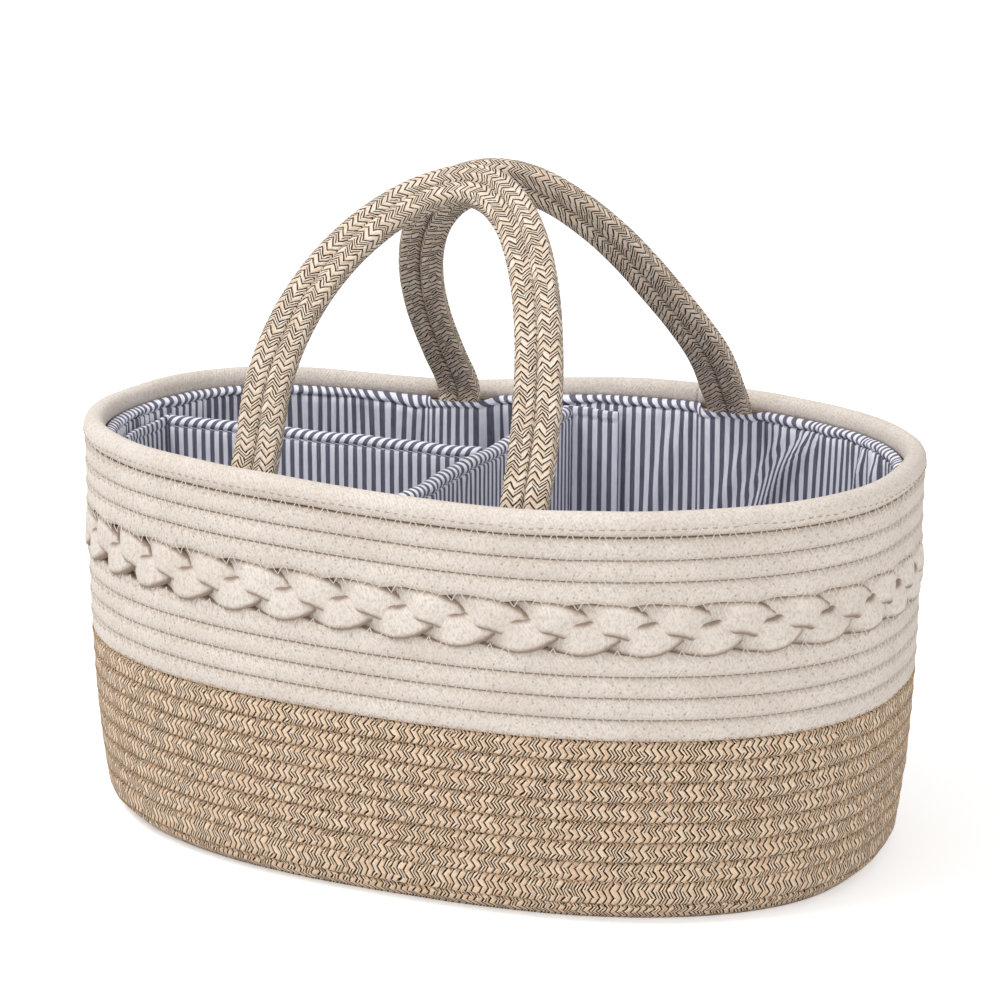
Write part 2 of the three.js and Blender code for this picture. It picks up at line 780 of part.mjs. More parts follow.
const basket = new THREE.Group();
basket.add(
  piece('base_coil', baseCoil(), brownCotton),
  piece('brown_wall_coil', brownWallCoil(), brownCotton),
  piece('white_lower_coil', whiteCoil('white_lower_coil', brownTop, lowerWhiteRows), whiteCotton),
  piece('white_upper_coil', whiteCoil('white_upper_coil', upperWhiteBottom, upperWhiteRows), whiteCotton),
  piece('rim_rope', rimRopeSolid(), whiteCotton),
  piece('lining', liningSolid(), ticking),
);
for (let strand = 0; strand < 3; strand += 1) {
  basket.add(piece(`plait_strand_${strand + 1}`, plaitStrand(strand), whiteCotton));
}
caddy.add(basket);

// Each handle is built at its own feet and turned to face the middle of the caddy
const handles = [
  { name: 'front', lean: frontAngles, turn: 0 },
  { name: 'rear', lean: rearAngles, turn: Math.PI },
];
const cords = [
  { name: 'outer', offset: cordSpacing / 2 },
  { name: 'inner', offset: -cordSpacing / 2 },
];
handles.forEach(({ name, lean, turn }) => {
  const handle = new THREE.Group();
  handle.position.set(0, -Math.cos(turn) * handleFrame(lean).hingeY, hingeHeight);
  handle.rotation.z = turn;
  cords.forEach((cord) => {
    const solid = handleCordSolid(lean, cord.offset);
    handle.add(piece(`handle_${name}_${cord.name}_cord`, solid, brownCotton));
    ['left', 'right'].forEach((side, i) => {
      const facing = (i === 0 ? -1 : 1) * Math.cos(turn);
      const tail = piece(`tail_${name}_${side}_${cord.name}`, tailSolid(lean), brownCotton);
      tail.position.x = facing * (footHalfSpacing + cord.offset);
      handle.add(tail);
    });
  });
  caddy.add(handle);
});

// Panels are drawn flat and stood up in their own groups
const upright = (geometries, turn, x, y) => {
  const group = new THREE.Group();
  group.position.set(x, y, 0);
  group.rotation.z = turn;
  geometries.forEach(([name, geometry, material]) => {
    const mesh = piece(name, geometry, material);
    mesh.rotation.x = Math.PI / 2;
    group.add(mesh);
  });
  return group;
};
caddy.add(upright([
  ['divider_cross_cover', crossPanel.cover, ticking],
  ['divider_cross_board', crossPanel.board, board],
], Math.PI / 2, crossPanelX, 0));
caddy.add(upright([
  ['divider_long_cover', longPanel.cover, ticking],
  ['divider_long_board', longPanel.board, board],
], 0, 0, longPanelY));

tabs.map(tabPieces).forEach(({ name, tab, hook, loop }) => {
  caddy.add(
    piece(`divider_tab_${name}`, tab, ticking),
    piece(`hook_tape_${name}`, hook, tape),
    piece(`loop_tape_${name}`, loop, tape),
  );
});

export default caddy;
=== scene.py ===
import math

import bpy
import numpy as np
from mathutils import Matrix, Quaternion, Vector


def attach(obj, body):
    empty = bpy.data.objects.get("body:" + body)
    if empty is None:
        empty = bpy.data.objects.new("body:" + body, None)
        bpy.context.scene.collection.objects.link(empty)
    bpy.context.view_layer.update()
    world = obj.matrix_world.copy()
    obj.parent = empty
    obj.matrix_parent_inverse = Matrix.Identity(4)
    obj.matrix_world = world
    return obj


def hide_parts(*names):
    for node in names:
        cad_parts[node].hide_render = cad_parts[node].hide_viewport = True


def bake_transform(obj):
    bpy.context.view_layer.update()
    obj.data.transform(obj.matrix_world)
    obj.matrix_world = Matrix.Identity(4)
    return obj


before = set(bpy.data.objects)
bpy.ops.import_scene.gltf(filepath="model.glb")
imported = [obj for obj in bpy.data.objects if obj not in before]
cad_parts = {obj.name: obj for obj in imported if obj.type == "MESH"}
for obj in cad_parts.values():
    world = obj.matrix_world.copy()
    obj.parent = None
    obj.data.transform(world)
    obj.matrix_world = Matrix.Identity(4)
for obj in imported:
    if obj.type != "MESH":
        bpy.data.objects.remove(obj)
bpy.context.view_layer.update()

mm = 0.001

# Base: one brown marled cotton rope wound flat into an oval spiral, every turn sewn to
# the last with a zigzag stitch. Its outermost turn climbs into the wall. It stands on
# the floor, where its underside is pressed flat.
rim_half_length, rim_half_width, outline_power = 190 * mm, 125 * mm, 2.35
core_half_length = rim_half_length - rim_half_width
brown_rope, brown_pitch = 8.2 * mm, 8.9 * mm
white_rope, white_pitch = 8.8 * mm, 9.3 * mm
base_loops, brown_rows, lower_white_rows, upper_white_rows = 11, 9, 4, 3
bottom_radius, rim_overhang, side_taper, end_taper = 12 * mm, 3 * mm, 2.5 * mm, 6 * mm
taper_power = 4
plait_height = 22 * mm
seat_gap = 0.35 * mm
steps_a_loop = 300
climb_start, climb_span = 5 / 24, 2 / 24

base_centre = brown_rope * 0.4
corner_top = base_centre + bottom_radius
corner_length = bottom_radius * math.pi / 2
brown_top = corner_top + brown_rows * brown_pitch - corner_length + brown_pitch / 2
lower_white_top = brown_top + lower_white_rows * white_pitch
plait_centre = lower_white_top + plait_height / 2
upper_white_bottom = lower_white_top + plait_height
upper_white_top = upper_white_bottom + upper_white_rows * white_pitch


def rounded(value, power):
    """A sine or cosine made fuller, which turns a round outline into a squarer one."""
    return np.sign(value) * np.abs(value) ** power


def length_along(line):
    """How far along a line each of its points lies."""
    return np.concatenate([[0], np.cumsum(np.linalg.norm(np.diff(line, axis=0), axis=1))])


def unit(ways):
    """Ways in space, each brought to a length of one."""
    return ways / np.linalg.norm(ways, axis=-1)[..., None]


def rim_table(samples=28800):
    """The rim's outline, with the share of the way round that each of its points lies at."""
    turn = np.linspace(0, 2 * np.pi, samples + 1)
    x = rim_half_length * rounded(np.cos(turn), 2 / outline_power)
    y = rim_half_width * rounded(np.sin(turn), 2 / outline_power)
    length = length_along(np.column_stack([x, y]))
    return length / length[-1], x, y, length[-1]


rim_share, rim_x, rim_y, rim_length = rim_table()


def ray(loops):
    """Rim point, outward way, length to the core and taper, at places counted in loops."""
    at = np.mod(loops, 1.0)
    rim = np.stack([np.interp(at, rim_share, rim_x), np.interp(at, rim_share, rim_y)], -1)
    core = np.clip(rim[..., 0], -core_half_length, core_half_length)
    out = rim - np.stack([core, 0 * core], -1)
    reach = np.linalg.norm(out, axis=-1)
    out = out / reach[..., None]
    taper = side_taper + (end_taper - side_taper) * out[..., 0] ** 2
    return rim, out, reach, taper


def wall_inset(loops, z):
    """How far inside the rim's outline the wall's outer face stands at a height."""
    drop = np.clip((upper_white_top - z) / (upper_white_top - corner_top), 0, 1)
    return rim_overhang + ray(loops)[3] * drop**taper_power


def profile(loops, s):
    """Where the brown rope's centre lies, a length s up from the edge of the base."""
    bend = np.clip(s, 0, corner_length) / bottom_radius
    on_wall = corner_top + s - corner_length
    in_corner = s < corner_length
    foot = wall_inset(loops, corner_top) + brown_rope / 2
    inset = np.where(
        in_corner,
        foot + bottom_radius * (1 - np.sin(bend)),
        wall_inset(loops, on_wall) + brown_rope / 2,
    )
    z = np.where(in_corner, corner_top - bottom_radius * np.cos(bend), on_wall)
    return inset, z, np.where(in_corner, bend, np.pi / 2)


def row_path(first_row, rows, climbs_out):
    """Level rows that climb to the next one in a short stretch at the back."""
    level = 1 - climb_span
    turns = (rows - 1) + level + (climb_span if climbs_out else 0)
    travel = np.linspace(0, turns, int(turns * steps_a_loop) + 1)
    whole = np.floor(travel + 1e-9)
    climb = smooth_share((travel - whole - level) / climb_span)
    return climb_start + climb_span + travel, first_row + whole + climb


def wander(along, seed, wavelength):
    """A smooth uneven value, about -1 to 1, along a length. It is the same on each run."""
    draw = np.random.RandomState(seed)
    total = 0 * along
    for _ in range(7):
        length = wavelength * (0.5 + 1.5 * draw.rand())
        total = total + np.sin(2 * np.pi * (along / length + draw.rand()))
    return total / 3.0


def smooth_share(value):
    """A smooth step from 0 to 1, where a value goes from 0 to 1."""
    share = np.clip(value, 0, 1)
    return share * share * (3 - 2 * share)


def settle(points):
    """The soft wall has sunk a little, most at the back left and some at the front right."""
    x, y, z = points[..., 0], points[..., 1], points[..., 2]
    behind = 8.9 * mm * np.exp(-(((x + 78 * mm) / (70 * mm)) ** 2))
    before = 4.1 * mm * np.exp(-(((x - 57 * mm) / (90 * mm)) ** 2))
    at_back = smooth_share(y / (80 * mm) + 0.5)
    height_share = np.clip(z, 0, None) / (179 * mm)
    sunk = points.copy()
    sunk[..., 2] -= (behind * at_back + before * (1 - at_back)) * height_share**2
    return sunk


# Between two stitches a rope stands out a little past the wall's face
bulge = 0.5 * mm
upright = np.pi / 2


def rope_section(fullness, sides=16):
    """Points round a squashed rope, evenly spaced. The middle one faces outward."""
    turn = np.linspace(-np.pi, np.pi, 4001)
    outline = [rounded(way, 2 / fullness) for way in (np.cos(turn), np.sin(turn))]
    length = length_along(np.column_stack(outline))
    way = np.linspace(0, 1, sides + 1)
    a, b = (np.interp(way * length[-1], length, side)[:-1] for side in outline)
    return a, b, way


def quads(rows, columns, rows_close, columns_close):
    """The four points of each face in a grid of points."""
    i = np.arange(rows if rows_close else rows - 1)[:, None]
    k = np.arange(columns if columns_close else columns - 1)
    j, m = (i + 1) % rows, (k + 1) % columns
    return np.stack([i * columns + k, i * columns + m, j * columns + m, j * columns + k], -1)


def corners(along, across):
    """The map's two lengths at the four corners of each face in a grid."""
    at = np.stack(np.broadcast_arrays(along, across), -1)
    low, high = at[..., :-1, :, :], at[..., 1:, :, :]
    return np.stack([low[..., :-1, :], low[..., 1:, :], high[..., 1:, :], high[..., :-1, :]], -2)


def new_piece(name, points, faces, map_name, uv):
    mesh = bpy.data.meshes.new(name)
    mesh.from_pydata(points.reshape(-1, 3).tolist(), [], faces)
    mesh.uv_layers.new(name=map_name).data.foreach_set("uv", uv.astype(np.float32).ravel())
    mesh.shade_smooth()
    made = bpy.data.objects.new(name, mesh)
    bpy.context.scene.collection.objects.link(made)
    return made


def skin(name, points, along, around, closed=False):
    """A rope's skin over rings of points. Its map keeps the length along and the way round."""
    rings, sides = points.shape[:2]
    faces = quads(rings, sides, closed, True).reshape(-1, 4)
    lengths = np.append(along, 2 * along[-1] - along[-2]) if closed else along
    uv = corners(lengths[:, None], around).reshape(-1, 4, 2)
    flat = points.reshape(-1, 3)
    p, q, r, s = (flat[faces[:, n]] for n in range(4))
    volume = (np.cross(p, q) * r).sum() + (np.cross(p, r) * s).sum()
    if volume < 0:
        faces, uv = faces[:, ::-1], uv[:, ::-1]
    faces, uv = faces.tolist(), uv.reshape(-1, 2)
    if not closed:
        for ring, first in ((0, volume > 0), (rings - 1, volume < 0)):
            cap = (np.arange(sides) + ring * sides).tolist()
            faces.append(cap[::-1] if first else cap)
            uv = np.concatenate([uv, np.column_stack([np.full(sides, along[ring]), around[:-1]])])
    return new_piece(name, points, faces, "length", uv)


def sweep(line, across, upward, a, b):
    """A section's points at each point of a line, a along one way and b along the other."""
    return line[:, None] + across[:, None] * a[..., None] + upward[:, None] * b[..., None]


def rope_frame(loops, inset, z, turn):
    """Centre of a rope on the wall, with the ways across the wall and along it."""
    rim, out, _, _ = ray(loops)
    turn = np.broadcast_to(turn, z.shape)
    centre = np.column_stack([rim - out * inset[:, None], z])
    across = np.column_stack([out * np.sin(turn)[:, None], -np.cos(turn)])
    upward = np.column_stack([out * np.cos(turn)[:, None], np.sin(turn)])
    return centre, across, upward


def lay_rope(name, place, along, depth, below, above, fullness, floor=None, sides=16):
    """A rope laid along the wall, squashed by its stitching, with cut ends."""
    centre, across, upward = rope_frame(*place)
    a, b, around = rope_section(fullness, sides)
    depth, below, above = (
        np.broadcast_to(size, (len(centre),))[:, None] for size in (depth, below, above))
    points = sweep(centre, across, upward, a * depth, np.where(b > 0, b * above, b * below))
    if floor is not None:
        points[..., 2] = np.maximum(points[..., 2], floor)
    return skin(name, settle(points), along, around)


class Wire:
    """A value in a shader. Arithmetic on it adds Math nodes to its tree."""

    def __init__(self, tree, socket):
        self.tree, self.socket = tree, socket

    def math(self, operation, *values):
        return put(self.tree, "Math", self, *values, operation=operation)

    def __add__(self, other):
        return self.math("ADD", other)

    def __sub__(self, other):
        return self.math("SUBTRACT", other)

    def __rsub__(self, other):
        return put(self.tree, "Math", other, self, operation="SUBTRACT")

    def __mul__(self, other):
        return self.math("MULTIPLY", other)

    def __truediv__(self, other):
        return self.math("DIVIDE", other)

    def ramp(self, low, high, to_low=0.0, to_high=1.0):
        """A smooth step from one value to another."""
        ends = (low, high, to_low, to_high)
        return put(self.tree, "MapRange", self, *ends, interpolation_type="SMOOTHSTEP")


def fill(tree, pairs):
    """Sets each socket to its number or colour, or joins it to its wire."""
    for socket, value in pairs:
        if isinstance(value, Wire):
            tree.links.new(value.socket, socket)
        else:
            socket.default_value = value


def put(tree, kind, *values, named=None, output=0, **settings):
    """A shader node with its inputs filled, by place or by name. Gives one of its outputs."""
    made = tree.nodes.new("ShaderNode" + kind)
    for setting, value in settings.items():
        setattr(made, setting, value)
    fill(tree, zip(made.inputs, values))
    fill(tree, ((made.inputs[key], value) for key, value in (named or {}).items()))
    return Wire(tree, made.outputs[output])


def noise(place, scale, detail, **more):
    named = {"Vector": place, "Scale": scale, "Detail": detail, **more}
    return put(place.tree, "TexNoise", named=named)


def white_noise(place):
    """A value from 0 to 1 that is another one in each whole step of the place."""
    return put(place.tree, "TexWhiteNoise", place, noise_dimensions="2D")


def dye(red, green, blue):
    """A dye's colour, given as it looks on a screen from 0 to 255."""
    shares = [c / 255 for c in (red, green, blue)]
    return [s / 12.92 if s <= 0.04045 else ((s + 0.055) / 1.055) ** 2.4 for s in shares] + [1.0]


def deeper(colour, share):
    return tuple(c * share for c in colour)


# Where a Mix node keeps its share and two colours, and its mixed colour
mix_inputs, mix_output = (0, 6, 7), 2


def tint(share, first, second):
    """Two colours mixed by a share, each one a wire or a dye."""
    made = share.tree.nodes.new("ShaderNodeMix")
    made.data_type = "RGBA"
    mixed = (dye(*end) if isinstance(end, tuple) else end for end in (first, second))
    fill(share.tree, zip((made.inputs[n] for n in mix_inputs), (share, *mixed)))
    return Wire(share.tree, made.outputs[mix_output])


def new_group(name, inputs):
    """A shader node group, with its inputs as wires."""
    tree = bpy.data.node_groups.new(name, "ShaderNodeTree")
    for key, value in inputs.items():
        socket = tree.interface.new_socket(key, in_out="INPUT", socket_type="NodeSocketFloat")
        socket.default_value = value
    given = tree.nodes.new("NodeGroupInput").outputs
    return tree, {key: Wire(tree, given[key]) for key in inputs}


def finish_group(tree, outputs):
    for key in outputs:
        tree.interface.new_socket(key, in_out="OUTPUT", socket_type="NodeSocketFloat")
    end = tree.nodes.new("NodeGroupOutput").inputs
    fill(tree, ((end[key], value) for key, value in outputs.items()))
    return tree


def use_group(tree, group, **values):
    """A group placed in a material with that material's own values."""
    made = tree.nodes.new("ShaderNodeGroup")
    made.node_tree = group
    fill(tree, ((made.inputs[key], value) for key, value in values.items()))
    return {socket.name: Wire(tree, socket) for socket in made.outputs}


def braided_yarn_group():
    """Strands that slant both ways to meet in a chevron, with dark yarns in each and a painted
    highlight beside them.
    """
    tree, given = new_group("braided yarn", {
        "Along": 0.0, "Around": 0.0, "Ribs": 2.0, "Shift": 0.5, "Spacing": 3 * mm,
        "Slant": 1.0, "Wander": 0.3, "Sway": 0.0})
    along, around = given["Along"], given["Around"]
    uneven = noise(put(tree, "CombineXYZ", along * 210, around, 4.0), 1.0, 1.0)
    ways = around * given["Ribs"] + given["Shift"] + (uneven - 0.5) * given["Sway"]
    arm = ((ways + 100.0).math("FRACT") - 0.5).math("ABSOLUTE") * 2
    side = (ways * 2).math("FLOOR")
    uneven = noise(put(tree, "CombineXYZ", along * 160, around, side), 1.0, 2.0)
    count = along / given["Spacing"] + arm * given["Slant"] + (uneven - 0.5) * given["Wander"]
    across, number = count.math("FRACT"), count.math("FLOOR")
    chance, other = (
        white_noise(put(tree, "CombineXYZ", number, side + shift)) for shift in (0.0, 7.0))

    # Each gives a thin line across a strand: a dark yarn, or the painted highlight
    def yarn(first, shift, draw, half_width):
        away = (across - (draw * shift + first)).math("ABSOLUTE")
        return 1.0 - away.ramp(half_width * 0.6, half_width * 1.4)

    # Each strand shows one dark yarn, and nearly half of them a second beside it
    second = yarn(0.6, 0.1, other, 0.1) * other.ramp(0.5, 0.6)
    fine = (across * (5 * math.pi)).math("SINE").math("ABSOLUTE")
    return finish_group(tree, {
        "Dark yarn": yarn(0.2, 0.05, chance, 0.135).math("MAXIMUM", second),
        # A painted highlight: a thin pale line just past the first dark yarn
        "Painted highlight": yarn(0.42, 0.03, other, 0.09),
        "Height": fine * 0.4 + (across * math.pi).math("SINE"),
        "Shade": chance,
        # 0 at the middle of the rope's face, rising to 1 in the grooves
        "Face": ((around - 0.5) * 4.0).math("PINGPONG", 1.0),
    })


braided_yarn = braided_yarn_group()


def new_cloth_material(name, map_name):
    """An empty matt cotton material, with the two lengths of its map."""
    made = bpy.data.materials.new(name)
    made.use_nodes = True
    tree = made.node_tree
    shader = tree.nodes["Principled BSDF"]
    shader.inputs["Roughness"].default_value = 0.95
    shader.inputs["Specular IOR Level"].default_value = 0.2
    shader.inputs["Sheen Weight"].default_value = 0.12
    shader.inputs["Sheen Roughness"].default_value = 0.5
    parts = tree.nodes.new("ShaderNodeSeparateXYZ")
    fill(tree, [(parts.inputs[0], put(tree, "UVMap", uv_map=map_name))])
    return made, tree, shader, Wire(tree, parts.outputs[0]), Wire(tree, parts.outputs[1])


def finish_cloth(tree, shader, colour, height, depth):
    """Joins a colour and a relief, in metres, to the shader."""
    bump = put(tree, "Bump", named={"Strength": 1.0, "Distance": depth, "Height": height})
    fill(tree, ((shader.inputs["Base Color"], colour), (shader.inputs["Normal"], bump)))


def marled_rope(name, pale, peach, dark, ribs, shift, slant, edge):
    """Braided cotton of beige strands with dark brown yarns among them."""
    made, tree, shader, along, around = new_cloth_material(name, "length")
    yarn = use_group(
        tree, braided_yarn, Along=along, Around=around, Ribs=ribs, Shift=shift, Spacing=3.0 * mm,
        Slant=slant, Wander=0.9, Sway=0.45)
    place = put(tree, "CombineXYZ", along * 900, around * 26)
    fuzz = noise(place, 1.0, 3.0)
    body = tint(yarn["Shade"].ramp(0.1, 0.9), pale, peach)
    body = tint(fuzz.ramp(0.45, 0.7, 0.0, 0.4), body, deeper(peach, 0.78))
    # Painted highlight: a near-white line beside the dark yarn of each strand
    body = tint(yarn["Painted highlight"] * 0.8, body, (255, 240, 220))
    colour = tint(yarn["Dark yarn"] * fuzz.ramp(0.28, 0.42, 0.45, 1.0), body, dark)
    # Brown shadow in the groove, with an uneven edge
    groove = yarn["Face"] + (noise(place, 0.35, 2.0) - 0.5) * 0.9
    colour = tint(groove.ramp(edge, edge + 0.1, 0.0, 0.85), colour, dark)
    shader.inputs["Sheen Weight"].default_value = 0.04
    finish_cloth(tree, shader, colour, yarn["Height"] + fuzz * 0.5, 0.4 * mm)
    return made


brown_cotton = marled_rope(
    "brown marled rope", (250, 221, 190), (240, 205, 171), (22, 10, 4), 6.2, 0.65, 0.62, 0.6)


def base_spiral():
    loops, row = row_path(0, base_loops, True)
    _, _, reach, _ = ray(loops)
    edge, _, _ = profile(loops, np.zeros_like(loops))
    innermost = brown_rope / 2 + seat_gap
    outer = reach - edge
    pitch = (outer - innermost) / (base_loops - 1)
    flat_row = np.minimum(row, base_loops - 1)
    climb_inset, climb_z, _ = profile(loops, np.maximum(row - base_loops + 1, 0) * brown_pitch)
    on_floor = row <= base_loops - 1
    climb = np.clip(row - base_loops + 1, 0, 1)
    inset = np.where(on_floor, reach - innermost - pitch * flat_row, climb_inset)
    z = np.where(on_floor, base_centre, climb_z)
    centre, _, _ = rope_frame(loops, inset, z, upright)
    return lay_rope(
        "base_spiral", (loops, inset - bulge * climb, z, upright), length_along(centre),
        pitch / 2 + 0.1 * mm + bulge * climb, brown_rope / 2, brown_rope / 2 * 0.9, 2.6, floor=0.0,
    )


base = base_spiral()
base.data.materials.append(brown_cotton)
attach(base, "basket")
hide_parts("base_coil")

# Brown wall: the same rope goes on up as nine rows, each sewn to the row below with a
# zigzag stitch that pulls them together until they touch.
def brown_wall():
    loops, row = row_path(1, brown_rows, True)
    climb_out = np.maximum(row - brown_rows, 0)
    s = (row - climb_out) * brown_pitch + climb_out * (brown_pitch + white_pitch) / 2
    inset, z, turn = profile(loops, s)
    along = loops * rim_length
    uneven = 0.16 * mm * wander(along, 3, 60 * mm)
    # Round the corner the rows spread at their outer side, so each is fuller there
    past_corner = smooth_share((s - corner_length) / brown_pitch + 0.5)
    half = brown_pitch / 2 + 0.3 * mm + 1.6 * mm * (1 - past_corner)
    return lay_rope(
        "brown_rope_wall", (loops, inset + uneven - bulge, z, turn), along,
        brown_rope / 2 + bulge, half, half, 4.6, sides=20,
    )


wall = brown_wall()
wall.data.materials.append(brown_cotton)
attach(wall, "basket")
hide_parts("brown_wall_coil")

# White wall: rows of cream cotton rope, four below the plait and three above it. Each is
# sewn to the next with a zigzag stitch, whose needle holes show as rows of small dimples.
stitches_a_loop = 156
stitch_reach = 3.0 * mm
plait_repeats = 13


def stitch_holes_group():
    """Small dimples where the needle went in, in two lines along each row."""
    tree, given = new_group("stitch holes", {
        "Along": 0.0, "Around": 0.0, "Period": 7 * mm, "Girth": 30 * mm, "Line": 0.045})
    holes = []
    for side, phase in ((1, 0.25), (-1, 0.75)):
        up = (given["Around"] - (given["Line"] * side + 0.5)) * given["Girth"]
        count = given["Along"] / given["Period"] + phase
        on = (count.math("FRACT") - 0.5) * given["Period"]
        away = (up * up + on * on).math("SQRT")
        chance = white_noise(put(tree, "CombineXYZ", count.math("FLOOR"), side))
        holes.append((1.0 - away.ramp(0.2 * mm, 0.5 * mm)) * chance.ramp(0.1, 0.7))
    return finish_group(tree, {"Hole": holes[0].math("MAXIMUM", holes[1])})


stitch_holes = stitch_holes_group()


def cream_rope(name, groove, shadow, holes=False):
    """Cream cotton rope, finely braided. groove says where its brown shadow starts and ends."""
    made, tree, shader, along, around = new_cloth_material(name, "length")
    yarn = use_group(
        tree, braided_yarn, Along=along, Around=around, Spacing=1.5 * mm, Slant=3.2, Wander=1.1)
    place = put(tree, "CombineXYZ", along * 850, around * 27)
    knit = noise(place, 1.0, 2.0, Distortion=0.6)
    fuzz = noise(place, 0.45, 4.0)
    body = tint(noise(place, 0.03, 2.0).ramp(0.3, 0.7), (238, 229, 220), (229, 218, 208))
    body = tint(knit.ramp(0.46, 0.66, 0.0, 0.42), body, (188, 170, 152))
    body = tint(yarn["Dark yarn"] * fuzz.ramp(0.35, 0.65, 0.1, 0.45), body, (196, 180, 164))
    height = yarn["Height"] * 0.5 + knit * -1.6 + fuzz
    if holes:
        period = rim_length / stitches_a_loop
        hole = use_group(tree, stitch_holes, Along=along, Around=around, Period=period)["Hole"]
        # Painted shade darkens each needle hole, on top of its dimple
        body = tint(hole * 0.5, body, (140, 122, 106))
        height = height - hole
    # Painted shade: the colour browns towards each groove, with an uneven edge
    seam = yarn["Face"] + (fuzz - 0.5) * 0.12
    body = tint(seam.ramp(*groove, 0.0, 0.8), body, shadow)
    finish_cloth(tree, shader, body, height, 0.25 * mm)
    return made


cream_rows = cream_rope("cream rope rows", (0.6, 0.72), (160, 138, 112), holes=True)


def lobe_fill(loops, notch, depth):
    """How far the plait's edge dips between two lobes, which the next row fills."""
    wave = np.mod(loops * plait_repeats * 3 - notch, 1.0)
    return depth * (np.abs(wave - 0.5) * 2) ** 2


def cream_wall(name, bottom, rows, lobed_row):
    loops, row = row_path(0, rows, False)
    tall = np.ones_like(row)
    # The cut ends thin out in the wedges that the climb leaves above and below
    share = np.linspace(0, 1, 60)
    rise = smooth_share(share)
    loops = np.concatenate([loops, loops[-1] + share[1:] * climb_span])
    row = np.concatenate([row, rows - 1 + rise[1:] / 2])
    tall = np.concatenate([tall, 1 - rise[1:]])
    if lobed_row == 0:
        loops = np.concatenate([loops[0] - (1 - share[:-1]) * climb_span, loops])
        row = np.concatenate([(rise[:-1] - 1) / 2, row])
        tall = np.concatenate([rise[:-1], tall])
    z = bottom + (row + 0.5) * white_pitch
    inset = wall_inset(loops, z) + white_rope / 2
    along = loops * rim_length
    uneven = 0.12 * mm * wander(along, 5, 45 * mm)
    half = tall * white_pitch / 2 + 0.2 * mm
    near_plait = np.clip(1 - np.abs(row - lobed_row), 0, 1)
    over_plait = lobed_row == 0
    notch, depth = (0.2, 2.8 * mm) if over_plait else (0.8, 3.2 * mm)
    fill = near_plait * lobe_fill(loops, notch, depth)
    below = half + (fill if over_plait else 0)
    above = half + (0 if over_plait else fill)
    made = lay_rope(
        name, (loops, inset + uneven - bulge, z, upright), along,
        (white_rope / 2 + bulge) * (0.65 + 0.35 * tall), below, above, 4.4,
    )
    made.data.materials.append(cream_rows)
    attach(made, "basket")
    return made


lower_rows = cream_wall("cream_rows_below_plait", brown_top, lower_white_rows, lower_white_rows - 1)
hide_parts("white_lower_coil")
upper_rows = cream_wall("cream_rows_above_plait", upper_white_bottom, upper_white_rows, 0)
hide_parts("white_upper_coil")

# Plait: three thick cream strands braided flat and sewn in as one tall row. The upper
# lobes slope down to the right and lie over the lower ones, and the whole stands proud.
strand_wide, strand_thick = 14.2 * mm, 5.6 * mm
plait_swing, plait_crossing, plait_proud = 5.2 * mm, 2.9 * mm, 2.4 * mm

# Painted shade: each strand browns from the middle of its face out to its edges, where the lobes
# cross
cream_plait = cream_rope("cream plait strand", (0.36, 0.64), (134, 107, 84))


def plait_strand(number):
    steps = plait_repeats * 48
    loops = np.arange(steps) / steps
    phase = 2 * np.pi * (loops * plait_repeats + number / 3)
    rim, out, _, _ = ray(loops)
    deep = wall_inset(loops, plait_centre) - plait_proud + plait_crossing + strand_thick / 2
    flat = rim - out * deep[:, None]
    centre = np.column_stack([flat, np.full(steps, plait_centre)])
    outward = np.column_stack([out, 0 * loops])
    centre = centre - outward * (plait_crossing * np.sin(2 * phase))[:, None]
    centre[:, 2] += plait_swing * (np.sin(phase) + 0.15 * np.sin(3 * phase))
    heading = unit(np.roll(centre, -1, 0) - np.roll(centre, 1, 0))
    wide = unit(np.cross(heading, outward))
    thick = np.cross(wide, heading)
    # Each lobe's leading edge tucks in under the next
    tip = (-0.14 * np.cos(phase) * np.sign(np.sin(phase)))[:, None]
    lean_wide = wide * np.cos(tip) + thick * np.sin(tip)
    lean_thick = thick * np.cos(tip) - wide * np.sin(tip)
    a, b, around = rope_section(3.2, 24)
    points = sweep(centre, lean_thick, lean_wide, a * strand_thick / 2, b * strand_wide / 2)
    along = loops * rim_length * 1.08
    made = skin(f"plait_lobes_{number + 1}", settle(points), along, around, closed=True)
    made.data.materials.append(cream_plait)
    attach(made, "basket")
    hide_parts(f"plait_strand_{number + 1}")


for strand in range(3):
    plait_strand(strand)

# Rim: a thicker, smoother cream rope sewn along the top, butted on itself behind the rear
# handle's right foot.
rim_rope = 10.6 * mm
rim_centre = upper_white_top + seat_gap + rim_rope / 2
rim_top = rim_centre + rim_rope / 2

# Face ends at 1, so a shadow that starts past it never shows
no_groove = (2.0, 3.0)
cream_rim = cream_rope("cream rim rope", no_groove, (150, 128, 104))


def rim_ring():
    travel = np.linspace(0, 1, 2 * steps_a_loop)
    loops = climb_start - 0.0105 + travel
    along = loops * rim_length
    end = np.clip(np.minimum(travel, 1 - travel) * rim_length / (2 * mm), 0, 1)
    size = (0.96 + 0.04 * np.sqrt(end)) * (1 + 0.012 * wander(along, 11, 70 * mm))
    inset = rim_rope / 2 + 0.8 * mm + 0.15 * mm * wander(along, 12, 90 * mm)
    z = np.full_like(loops, rim_centre) + 0.2 * mm * wander(along, 13, 110 * mm)
    half = rim_rope / 2 * size
    return lay_rope(
        "rim_rope_ring", (loops, inset, z, upright), along,
        half - 0.5 * mm, half + 0.2 * mm, half, 2.1)


rim = rim_ring()
rim.data.materials.append(cream_rim)
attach(rim, "basket")
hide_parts("rim_rope")

